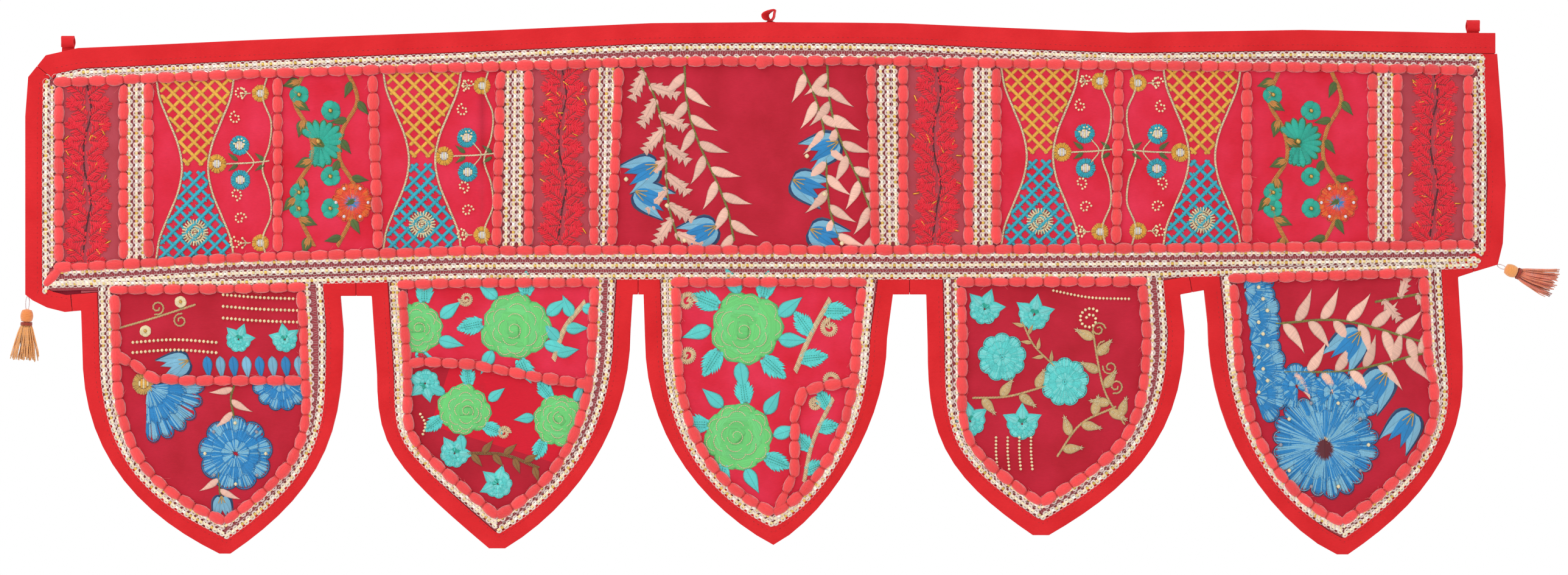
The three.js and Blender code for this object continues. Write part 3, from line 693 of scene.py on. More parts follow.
class Needlework:
    """Rows hold x, z, turn, long, wide, high, bend, lift, red, green, blue and slant."""

    def __init__(self, shape, lift=PATCH_FRONT):
        self.shape = shape
        self.lift = lift - 0.05
        self.rows = []

    def put(self, x, z, turn, long, wide, high, dye, bend=0.0, lift=0.0, slant=0.0):
        """turn is in degrees from +X; the repeat runs from its place in that direction."""
        self.rows.append((x, z, math.radians(turn), long, wide, high, bend, self.lift + lift,
                          *dye[:3], slant))

    def centred(self, x, z, turn, long, wide, high, dye, **more):
        self.put(*step(x, z, turn, -long / 2), turn, long, wide, high, dye, **more)

    def repeats(self, uneven, behind):
        """The points, corners, face sizes, thread maps and dyes of all the repeats."""
        shape = self.shape
        rows = np.array(self.rows)[:, :, None]
        x, z, turn, long, wide, high, bend, lift = (rows[:, i] for i in range(8))
        a, b, up = shape.places.T
        if uneven:
            b = b * (1 + rng.normal(0, uneven, (len(rows), len(b))))
        along = a * long
        across = b * wide + bend * a**2
        place_x = x + np.cos(turn) * along - np.sin(turn) * across
        place_z = z + np.sin(turn) * along + np.cos(turn) * across
        stand = lift + up * high
        place_y = depth(place_x, place_z) + (stand if behind else -stand)
        places = np.stack([place_x, place_y, place_z], axis=-1).reshape(-1, 3)
        corners = shape.corners + np.arange(len(rows))[:, None] * len(shape.places)
        reach, aside = shape.thread_map.T
        start = rng.uniform(0, 40, (len(rows), 1))
        maps = np.stack([reach * (1 if shape.in_mm else long) + start,
                         aside * (1 if shape.in_mm else wide) + 0 * start], axis=-1)
        dyes = np.repeat(rows[:, 8:12, 0], len(shape.places), axis=0)
        return places, corners.ravel(), np.tile(shape.sizes, len(rows)), maps.reshape(-1, 2), dyes


def mesh_of(name, places, corners, sizes, maps, dyes):
    """A mesh from joined arrays, with its thread map and its dyes. Places and maps are in millimetres."""
    mesh = bpy.data.meshes.new(name)
    mesh.vertices.add(len(places))
    mesh.loops.add(len(corners))
    mesh.polygons.add(len(sizes))
    mesh.vertices.foreach_set("co", places.ravel() * MM)
    mesh.loops.foreach_set("vertex_index", corners)
    mesh.polygons.foreach_set("loop_start", np.concatenate([[0], np.cumsum(sizes)[:-1]]))
    mesh.update(calc_edges=True)
    mesh.uv_layers.new(name="threads").data.foreach_set("uv", maps.ravel() * MM)
    mesh.attributes.new("tint", "FLOAT_COLOR", "POINT").data.foreach_set("color", dyes.ravel())
    mesh.shade_smooth()
    mesh.validate()
    return mesh


def joined(name, groups):
    """One mesh from groups of points, corners, face sizes, thread maps and dyes."""
    counts = np.cumsum([0] + [len(group[0]) for group in groups])
    corners = np.concatenate([group[1] + first for group, first in zip(groups, counts)])
    places, _, sizes, maps, dyes = (np.concatenate(column) for column in zip(*groups))
    return mesh_of(name, places, corners, sizes, maps[corners], dyes)


def sew(name, works, finish, slot, on=None, node=None, uneven=0.0, behind=False):
    """Joins several kinds of repeats as one piece, on a cloth or in a node's place."""
    mesh = joined(name, [work.repeats(uneven, behind) for work in works if work.rows])
    if behind:
        mesh.flip_normals()
    print(name, "-", sum(len(work.rows) for work in works), "repeats,", len(mesh.polygons), "faces")
    return keep(name, mesh, finish, slot, node=node, on=on)


def uneven_dye(dye, spread=0.06):
    """The same dye, a little lighter or darker on each repeat."""
    return tuple(np.clip(np.array(dye[:3]) * (1 + rng.normal(0, spread)), 0, 1))


# %% [markdown]
# ## Lines to sew along
# Yarn, braid and running stitches all follow lines at a fixed distance from an edge. A pennant's side is a
# short straight head and one Bezier curve, so moving its shoulder inwards and its point upwards gives the
# line of any inset.

# %% Lines
def band_line(column, shift, start, end):
    x = np.linspace(start, end, 60)
    return np.stack([x, row_height(column, x) + shift], axis=-1)


def side_line(pennant, hand, inset, head_at=None):
    """A pennant's side from its head to its point, at a distance inside its edge."""
    head_x, head_z, shoulder_x, shoulder_z, belly, slope, run, lace = pennant[hand]
    inward = 1 if hand == "left" else -1
    point_x, point_z = pennant["point"]
    half = max(pennant["blunt"] / 2 - inset, 0)
    shoulder = np.array((shoulder_x + inward * inset, shoulder_z))
    point = np.array((point_x - inward * half, point_z + POINT_LIFT * inset / lace))
    angle = math.radians(slope)
    flank = point + run * np.array((-inward * math.cos(angle), math.sin(angle)))
    t = np.linspace(0, 1, 25)[:, None]
    below = shoulder - (0, belly)
    curve = (1 - t)**3 * shoulder + 3 * (1 - t)**2 * t * below + 3 * (1 - t) * t**2 * flank + t**3 * point
    head = (head_x + inward * inset, head_z if head_at is None else head_at)
    return np.vstack([[head], curve])


def inset_line(points, distance):
    """A line moved sideways, to its left as it runs when the distance is above 0."""
    points = np.asarray(points, float)
    way = np.gradient(points, axis=0)
    way /= np.linalg.norm(way, axis=1, keepdims=True)
    return points + np.stack([-way[:, 1], way[:, 0]], axis=-1) * distance


def paced(points, pitch, start=0.5):
    """Even steps along a line: x, z and the line's turn in degrees at each, and the true pitch."""
    points = np.asarray(points, float)
    reach = np.concatenate([[0], np.cumsum(np.linalg.norm(np.diff(points, axis=0), axis=1))])
    count = max(1, round(reach[-1] / pitch))
    at = (np.arange(count) + start) * reach[-1] / count

    def place(where, axis):
        return np.interp(where, reach, points[:, axis])

    nearby = min(pitch, 1.0) / 2
    dx = place(at + nearby, 0) - place(at - nearby, 0)
    dz = place(at + nearby, 1) - place(at - nearby, 1)
    turns = np.degrees(np.arctan2(dz, dx))
    return list(zip(place(at, 0), place(at, 1), turns)), reach[-1] / count


print("pennant_1's left side is", round(paced(side_line(PENNANTS[0], "left", 0), 1)[1] *
      len(paced(side_line(PENNANTS[0], "left", 0), 1)[0])), "mm long")

# %% [markdown]
# ## The soft yarn over the seams
# A fluffy coral yarn is laid over each seam and tied down every twelve millimetres, so it swells into puffs
# between its ties. One puff is a pod with a narrow waist. Each gets its own small differences, a dark tie
# lies over every waist, and loose fibres stand off the sides.

# %% Yarn and its ties
YARN_PITCH = 11.8
TIE_SIDES = 7
CORAL = colour(248, 74, 76)
TIE_RED = colour(232, 42, 42)

tie_line = [(0.25 * (i / (TIE_SIDES - 1) - 0.5) * 4, 2.8 * math.cos(math.pi * i / (TIE_SIDES - 1)),
             2.7 * math.sin(math.pi * i / (TIE_SIDES - 1))) for i in range(TIE_SIDES)]
tie = cord(tie_line, 0.3, 3)
hair = pod(3, 3, stitch_outline, blunt=0.5)


def yarn_along(lines, puffs, ties, hairs):
    for line in lines:
        places, pitch = paced(line, YARN_PITCH)
        for x, z, turn in places:
            swell = rng.normal(1, 0.06)
            long = pitch * rng.uniform(1.12, 1.2)
            puffs.centred(x, z, turn + rng.normal(0, 2.5), long, YARN_WIDTH * 1.06 * swell,
                          (YARN_FRONT - YARN_BACK) * min(swell, 1.08), uneven_dye(CORAL, 0.05))
            for _ in range(3):
                side = rng.choice((-1, 1)) * YARN_WIDTH * rng.uniform(0.3, 0.5)
                off = rng.uniform(-0.4, 0.4) * pitch
                hairs.centred(*step(*step(x, z, turn, off), turn + 90, side), turn + rng.normal(0, 22),
                              rng.uniform(4, 9), 0.22, 0.25, uneven_dye(CORAL, 0.1),
                              bend=rng.normal(0, 1.2), lift=rng.uniform(0.2, 2.2))
        for x, z, turn in paced(line, YARN_PITCH, start=0.0)[0][1:]:
            ties.put(x, z, turn + rng.normal(0, 8), 1, 1, 1, uneven_dye(TIE_RED, 0.08))


def sew_yarn(node, lines, knobs=()):
    puffs, ties, hairs = (Needlework(shape, YARN_BACK) for shape in (puff, tie, hair))
    yarn_along(lines, puffs, ties, hairs)
    through = Needlework(stitch, CLOTH_BACK)
    for row in ties.rows:
        through.centred(row[0], row[1], math.degrees(row[2]) + 90, 5.2, 0.7, 0.35, uneven_dye(TIE_RED, 0.1))
    ground = node.replace("roving", "ground")
    sew(f"back_{node}", [through], wool, "backing_cloth", on=cloths[ground].name, behind=True)
    for x, z in knobs:
        puffs.centred(x, z, 20, 10, 9.5, 3.9, uneven_dye(CORAL, 0.02))
        puffs.centred(x, z, 110, 9, 8, 4.1, uneven_dye(CORAL, 0.02))
    yarn = sew(f"yarn_{node}", [puffs, hairs], coral_yarn, "roving_yarn", node=node, uneven=0.03)
    sew(f"ties_{node}", [ties], wool, "roving_yarn", on=yarn.name)


GRID_LEFT, GRID_RIGHT = -488, 486
grid = [band_line(column, 0, GRID_LEFT, GRID_RIGHT) for column in ("top", "bottom")]
for x, foot, _ in SEAMS:
    grid.append([(x, row_height("top", x) - 4), (foot, row_height("bottom", foot) + 4)])
grid.append([(-484, -169), (-489, -174.5), (-494, -181)])
sew_yarn("band_roving", grid, knobs=((-3, -27.5), (0, -155.5)))
for pennant in PENNANTS:
    name = pennant["name"]
    left, right = pennant["left"], pennant["right"]
    start, end = left[0] + left[7], right[0] - right[7]
    lines = [band_line("lower", 0, start - 3, end + 3)]
    lines += [side_line(pennant, hand, pennant[hand][7], row_height("lower", pennant[hand][0]) - 4)
              for hand in ("left", "right")]
    if name in PENNANT_SEAMS:
        lines.append(PENNANT_SEAMS[name])
    sew_yarn(f"{name}_roving", lines)

# %% [markdown]
# ## The braid
# The braid is a gimp: a cord winds up and down round a flat metal ribbon, and finer cords echo its loops on
# both sides. One wave of it is built in real size and repeated along each line, 5.6 mm at a time. Where a
# second or third row is half hidden under the yarn, only its cord and ribbon are worth making.

# %% One wave of braid
WAVE = 5.6
WAVE_HEIGHT = 1.9
CORD_CREAM = colour(246, 226, 214)
CORD_PINK = colour(242, 214, 210)
RIBBON_DYES = (colour(248, 232, 196), colour(222, 184, 92), colour(255, 248, 232), colour(240, 216, 158))
NET_PINK = colour(226, 178, 178)

t = np.linspace(0, 1, 11)
wave_line = np.stack([WAVE * t - 0.5 * np.sin(2 * TURN * t), WAVE_HEIGHT * np.sin(TURN * t),
                      0.75 + 0.25 * np.cos(2 * TURN * t)], axis=-1)
wave = cord(wave_line, 0.76, 4, 0.85)
wave.places[:, 0] /= WAVE
t = np.linspace(0, 1, 6)
echo_line = np.stack([WAVE * 0.5 + 2.5 * np.cos(math.pi * (1 + t)), 0.3 - 2.9 * np.sin(math.pi * t),
                      np.full(6, 0.4)], axis=-1)
echo = cord(echo_line, 0.24, 3)
echo.places[:, 0] /= WAVE


def plate_shape():
    made = bmesh.new()
    bmesh.ops.create_cube(made, size=1)
    bmesh.ops.translate(made, vec=(0.5, 0, 0.5), verts=made.verts)
    top = [face for face in made.faces if face.normal.z > 0.5]
    bmesh.ops.inset_region(made, faces=top, thickness=0.12, depth=0.25)
    return Shape(made)


plate = plate_shape()
print("faces: wave", len(wave.sizes), "echo", len(echo.sizes), "plate", len(plate.sizes))


# %% Braid along a line
class Braid:
    """The repeats of every braid that lies on one cloth."""

    def __init__(self):
        self.cords = Needlework(wave, LACE_FRONT)
        self.echoes = Needlework(echo, LACE_FRONT)
        self.net = Needlework(hair, LACE_FRONT)
        self.ribbon = Needlework(plate, LACE_FRONT)

    def row(self, line, full=True, flip=False, scale=1.0, dye=CORD_CREAM):
        places, pitch = paced(line, WAVE, start=0.0)
        side = -scale if flip else scale
        for x, z, turn in places:
            self.cords.put(x, z, turn, pitch, side, 1, uneven_dye(dye, 0.05))
            for share, choices in ((0.25, RIBBON_DYES[:3]), (0.75, (RIBBON_DYES[0], RIBBON_DYES[3]))):
                pick = choices[rng.integers(len(choices))]
                self.ribbon.centred(*step(x, z, turn, pitch * share), turn + rng.normal(0, 4), 2.3, 1.8, 0.7,
                                    uneven_dye(pick, 0.08), lift=0.35)
            if full:
                for hand in (1, -1):
                    back = 0.5 * pitch * (hand * side > 0)
                    self.echoes.put(*step(x, z, turn, -0.25 * pitch - back), turn, pitch,
                                    -hand * abs(side), 1, uneven_dye(dye, 0.08))

    def netting(self, line, across, pitch=1.7):
        """Thin loose threads across the maroon between two rows."""
        for x, z, turn in paced(line, pitch)[0]:
            self.net.centred(x, z, turn + 90 + rng.normal(0, 16), across * rng.uniform(0.7, 1.2), 0.3, 0.35,
                             uneven_dye(NET_PINK, 0.12), bend=rng.normal(0, 0.5))

    def sew(self, node):
        cloth = cloths[node].name
        sew(f"braid_{node}", [self.cords, self.echoes, self.net], braid_cord, "lace_braid", on=cloth)
        sew(f"ribbon_{node}", [self.ribbon], bead_gold, "lace_braid", on=cloth)


# %% Braid across the band
TOP_START, TOP_END = -486, 493
top_braid = Braid()
first_row = band_line("edge", -TOP_BINDING_WIDTH - 3.0, TOP_START, TOP_END)
second_row = band_line("top", YARN_WIDTH / 2 - 1.2, TOP_START, TOP_END)
top_braid.row(first_row)
top_braid.row(second_row, full=False, dye=CORD_PINK)
top_braid.netting((first_row + second_row) / 2, 4.5)
top_braid.sew("lace_top")

bottom_braid = Braid()
BOTTOM_START, BOTTOM_END = -484, 490
upper_row = band_line("bottom", -YARN_WIDTH / 2 - 0.2, BOTTOM_START, BOTTOM_END)
middle_row = band_line("bottom", -YARN_WIDTH / 2 - 7.0, BOTTOM_START - 6, BOTTOM_END)
lowest_row = band_line("lower", YARN_WIDTH / 2 + 0.8, BOTTOM_START - 8, BOTTOM_END - 2)
bottom_braid.row(upper_row, full=False, dye=CORD_PINK)
bottom_braid.row(middle_row)
bottom_braid.row(lowest_row)
bottom_braid.netting((upper_row + middle_row) / 2, 4)
bottom_braid.netting((middle_row + lowest_row) / 2, 3)
bottom_braid.sew("lace_bottom")

# %% Braid down the band
def upright(x, foot):
    return [(x, row_height("top", x) - 3), (foot, row_height("bottom", foot) + 3)]


for (left_x, left_foot, _), (x, foot, name) in zip(SEAMS, SEAMS[1:]):
    if name.startswith("lace"):
        strip_braid = Braid()
        middle = upright((left_x + x) / 2 + 0.4, (left_foot + foot) / 2 + 0.4)
        strip_braid.row(middle, dye=CORD_PINK)
        for shift, flip in ((-4.6, False), (4.8, True)):
            beside = upright((left_x + x) / 2 + shift, (left_foot + foot) / 2 + shift)
            strip_braid.row(beside, full=False, flip=flip, dye=CORD_CREAM)
        strip_braid.sew(name)

for name, whole_row, hidden_row in (
        ("lace_left", ((-493.4, -40), (-494.0, -110), (-493.8, -186)), ((-489.6, -44), (-489.6, -168))),
        ("lace_right", ((490.6, -26), (492.2, -80), (491.6, -160)), ((486.6, -38), (487, -150)))):
    end_braid = Braid()
    end_braid.row(whole_row)
    end_braid.row(hidden_row, full=False, dye=CORD_PINK)
    end_braid.sew(name)

# %% Braid round the pennants
for pennant in PENNANTS:
    pennant_braid = Braid()
    for hand in ("left", "right"):
        room = pennant[hand][7] - YARN_WIDTH / 2 - BINDING_WIDTH
        head_at = row_height("lower", pennant[hand][0]) + 2
        outer = side_line(pennant, hand, BINDING_WIDTH + 2.9, head_at)
        inner = side_line(pennant, hand, BINDING_WIDTH + room - 0.4, head_at)
        pennant_braid.row(outer, flip=hand == "right")
        pennant_braid.row(inner, full=False, dye=CORD_PINK)
        if room > 9:
            pennant_braid.netting((outer + inner) / 2, room - 5)
    pennant_braid.sew(f"{pennant['name']}_lace")

# %% [markdown]
# ## Running stitches, loops and tassels
# The bindings are held by a running stitch that has sunk into the cotton, so its stitches are short, dark and
# low. A loop is one flat tape: a short edge is extruded step by step along its path and then thickened.

# %% Running stitches on the bindings
STITCH_RED = colour(176, 12, 24)
STITCH_PITCH = 3.4
BINDING_BACK = 2.5


def run_stitches(name, lines, on):
    stitches = Needlework(stitch, BINDING_FRONT)
    for line in lines:
        for x, z, turn in paced(line, STITCH_PITCH)[0]:
            stitches.centred(x, z, turn + rng.normal(0, 4), rng.uniform(1.2, 1.8), 0.55, 0.22,
                             uneven_dye(STITCH_RED, 0.15), lift=-0.02)
    sew(name, [stitches], wool, "red_binding", on=cloths[on].name)
    through = Needlework(stitch, BINDING_BACK)
    for x, z, turn, *_ in stitches.rows[::2]:
        through.put(x, z, math.degrees(turn), 1.6, 0.55, 0.2, uneven_dye(STITCH_RED, 0.15))
    sew(f"{name}_back", [through], wool, "red_binding", on=cloths[on].name, behind=True)


run_stitches("stitches_top", [band_line("edge", -TOP_BINDING_WIDTH * 0.73, -488, 499)], "binding_top")
run_stitches("stitches_left", [inset_line(LEFT_EDGE, 8.3)], "binding_left")
run_stitches("stitches_right", [inset_line(RIGHT_EDGE[1:], -9)], "binding_right")
for pennant in PENNANTS:
    lines = [side_line(pennant, hand, 8.4) for hand in ("left", "right")]
    run_stitches(f"stitches_{pennant['name']}", lines, f"binding_{pennant['name']}")

# %% Hanging loops
# Loops: name, x, z, whether it lies across, tape width, peak
LOOPS = (("loop_left", -479.5, -18.5, True, 9, 0.0), ("loop_centre", 2.5, 0, False, 6.5, 3.2),
         ("loop_right", 486, -7.5, True, 9, 0.0))
LOOP_HALF_WIDTH, LOOP_HALF_HEIGHT, LOOP_MIDDLE, TAPE_THICK, TAB_DROP = 3.5, 4.1, 2.4, 0.9, 8.5
TAB_POINTS, TAB_DEPTH = 3, 3.3


def loop_path(peak):
    """Up behind the binding, round the loop and back down to its foot, as (sideways, up)."""
    path = [(1.0, -TAB_DROP), (1.0, -4), (0.8, 0.3)]
    for i in range(17):
        angle = math.radians(-70 + 320 * i / 16)
        up = math.sin(angle)
        path.append((LOOP_HALF_WIDTH * math.cos(angle) + peak * max(up, 0)**2, 5.0 + LOOP_HALF_HEIGHT * up))
    return path


def tape_loop(name, x, z, across, tape, peak):
    made = bmesh.new()
    ends = [bmesh.ops.create_vert(made, co=(0, 0, 0))["vert"][0] for _ in range(2)]
    edges = [made.edges.new(ends)]
    path, rows = loop_path(peak), [ends]
    for _ in path[1:]:
        fresh, edges = grow(made, edges)
        rows.append(fresh)
    back = depth(np.array([x]), np.array([z]))[0]
    for i, ((aside, up), pair) in enumerate(zip(path, rows)):
        behind = i < TAB_POINTS
        for hand, vert in zip((-0.5, 0.5), pair):
            width = tape * (0.96 + 0.04 * math.cos(i))
            if across:
                vert.co = (x + hand * width, LOOP_MIDDLE + aside, z + up)
            elif behind:
                vert.co = (x + aside + hand * width, TAB_DEPTH, z + up)
            else:
                twist = math.radians(max(8, 26 - 8 * aside))
                vert.co = (x + aside - hand * width * math.sin(twist),
                           LOOP_MIDDLE - hand * width * math.cos(twist), z + up)
            vert.co.y += back
    bmesh.ops.recalc_face_normals(made, faces=made.faces)
    bmesh.ops.solidify(made, geom=made.faces[:], thickness=TAPE_THICK)
    bmesh.ops.recalc_face_normals(made, faces=made.faces)
    bmesh.ops.scale(made, vec=(MM,) * 3, verts=made.verts)
    mesh = bpy.data.meshes.new(name)
    made.to_mesh(mesh)
    made.free()
    mesh.shade_smooth()
    mesh.set_sharp_from_angle(angle=math.radians(50))
    cloths[name] = keep(f"cloth_{name}", mesh, binding_cotton, "loop_tape", node=name)


for row in LOOPS:
    tape_loop(*row)

# %% [markdown]
# ## Tassels
# A tassel starts as a hank of floss. A thread ties it in the middle, it is folded over into a head, and a
# wrap below the head holds the skirt. The head is a pod whose threads run down it, and every strand of the
# skirt is a thin bent cord of its own.

# %% Tassels
TASSELS = (
    dict(name="tassel_left", top=(-506.6, -188.8), turn=-3, thread=8, length=25, fan=11, droop=0,
         head=colour(236, 142, 78), skirt=colour(250, 170, 98), tip=colour(250, 176, 104)),
    dict(name="tassel_right", top=(502.8, -166.95), turn=68, thread=5, length=26, fan=11, droop=3,
         head=colour(240, 160, 92), skirt=colour(246, 150, 100), tip=colour(240, 118, 104)),
)
HEAD_LONG, HEAD_HALF = 9, 4.4
STRANDS = 90


def place_tassel(row, points):
    """From the tassel's own frame, hanging straight down, to its place and turn."""
    angle = math.radians(row["turn"])
    x, y, z = points.T
    c, s = math.cos(angle), math.sin(angle)
    top_x, top_z = row["top"]
    back = depth(np.array([top_x]), np.array([top_z]))[0]
    return np.stack([top_x + x * c - z * s, y + back, top_z + x * s + z * c], axis=-1)


def cotton_strands(row, waist):
    for i in range(STRANDS):
        angle = TURN * i / STRANDS
        reach = math.sqrt(rng.uniform(0.02, 1))
        out = np.array((math.cos(angle), 0.5 * math.sin(angle), 0)) * reach
        long = row["length"] * rng.uniform(0.88, 1.03)
        t = np.linspace(0, 1, 7)[:, None]
        spread = out * (3.0 * (1 - t) + row["fan"] * t**0.8 * rng.uniform(0.85, 1.05))
        fall = np.array((0, 0, -1)) * (waist + long * t)
        curl = np.sin(t * rng.uniform(3, 7)) * rng.normal(0, 0.5, 3)
        droop = np.array((row["droop"], 0, 0)) * t**2
        yield cord(spread + fall + curl * t + droop, np.linspace(0.5, 0.34, 7), 4)


def join_shapes(name, shapes, dyes, row, finish, slot, node=None, on=None):
    """Joins shapes that are already in real size as one piece."""
    groups = [(place_tassel(row, shape.places), shape.corners, shape.sizes, shape.thread_map,
               np.tile((*dye[:3], 0.0), (len(shape.places), 1))) for dye, shape in zip(dyes, shapes)]
    return keep(name, joined(name, groups), finish, slot, node=node, on=on)


def sized(shape, long, wide):
    """A round pod given its real size, hanging down from its start."""
    a, b, up = shape.places.T
    shape.places = np.stack([b * wide, up * wide / 2, -a * long], axis=-1)
    shape.thread_map = np.stack([b * wide, -a * long], axis=-1)
    return shape


def head_outline(reach):
    if not 0 < reach < 1:
        return 0.1
    return 0.5 * (0.25 + 0.75 * math.sin(math.pi * min(0.08 + reach * 0.8, 1)) ** 0.6)


for row in TASSELS:
    name = row["name"]
    waist = row["thread"] + HEAD_LONG
    head = sized(pod(16, 10, head_outline, crown=1, flat=False), HEAD_LONG + 0.6, 2 * HEAD_HALF)
    head.places[:, 2] -= row["thread"]
    skirt = list(cotton_strands(row, waist + 1))
    shades = [tuple(np.array(row["skirt"]) + (np.array(row["tip"]) - np.array(row["skirt"])) * rng.uniform())
              for _ in skirt]
    cloths[name] = join_shapes(f"floss_{name}", [head, *skirt], [row["head"], *shades], row, coral_yarn,
                               "tassel_yarn", node=name)
    turns = np.linspace(0, 3.5 * TURN, 44)
    wrap_line = np.stack([3.7 * np.cos(turns), 3.4 * np.sin(turns), -waist - 0.4 - turns * 0.09], axis=-1)
    thread_turns = np.linspace(0, TURN, 15)
    thread_line = np.stack([1.3 * np.sin(thread_turns), 0.4 * np.sin(2 * thread_turns),
                            -row["thread"] * 0.55 * (1 - 1.15 * np.cos(thread_turns))], axis=-1)
    join_shapes(f"wrap_{name}", [cord(wrap_line, 0.42, 5), cord(thread_line, 0.34, 5)],
                [colour(168, 60, 40), colour(244, 226, 226)], row, wool, "tassel_yarn", on=f"floss_{name}")

# %% [markdown]
# ## The embroiderer's motifs
# Every patch is worked with the same few motifs in different dyes: satin leaves, toothed leaves, roses,
# ruffled flowers, tulips, curls, discs and rows of beads. Each motif is a rule over leaf, petal, stitch and
# bead repeats. A patch's needlework is sorted by what it is made with, since silk, brass and pearl each have
# their own finish.

# %% Dyes
DYES = {name: colour(*shade) for name, shade in dict(
    crimson=(252, 36, 60), scarlet=(238, 72, 44), orange=(238, 108, 40), rust=(216, 142, 66),
    wine=(96, 18, 34), pink=(244, 194, 174), cream=(238, 220, 176), gold=(214, 172, 92),
    yellow=(236, 176, 62), sand=(212, 178, 120), straw=(238, 208, 164), bronze=(150, 104, 52),
    olive=(134, 130, 52),
    moss=(84, 108, 50), green=(108, 212, 118), mint=(112, 214, 126), teal=(34, 172, 150),
    lagoon=(46, 176, 196),
    turquoise=(94, 218, 214), aqua=(126, 226, 222), blue=(34, 138, 204), sky=(128, 190, 220),
    navy=(22, 62, 110), silver=(222, 220, 226), grey=(150, 150, 160)).items()}
print(len(DYES), "dyes")


# %% Motifs
def flowing(points, steps=7):
    """A smooth line through a few points, given as x, z, x, z and so on."""
    points = np.asarray(points, float).reshape(-1, 2)
    padded = np.vstack([2 * points[0] - points[1], points, 2 * points[-1] - points[-2]])
    t = np.linspace(0, 1, steps, endpoint=False)[:, None]
    runs = [0.5 * (2 * b + (c - a) * t + (2 * a - 5 * b + 4 * c - d) * t**2 + (3 * b - a - 3 * c + d) * t**3)
            for a, b, c, d in zip(padded, padded[1:], padded[2:], padded[3:])]
    return np.vstack([*runs, points[-1:]])


def spiral(x, z, radius, start, turns):
    t = np.linspace(0, 1, 14)
    angle = math.radians(start) + t * turns * TURN
    size = radius * (1 - 0.74 * t)
    return np.stack([x + size * np.cos(angle), z + size * np.sin(angle)], axis=-1).ravel()


EDGE_ROOM = 2.5


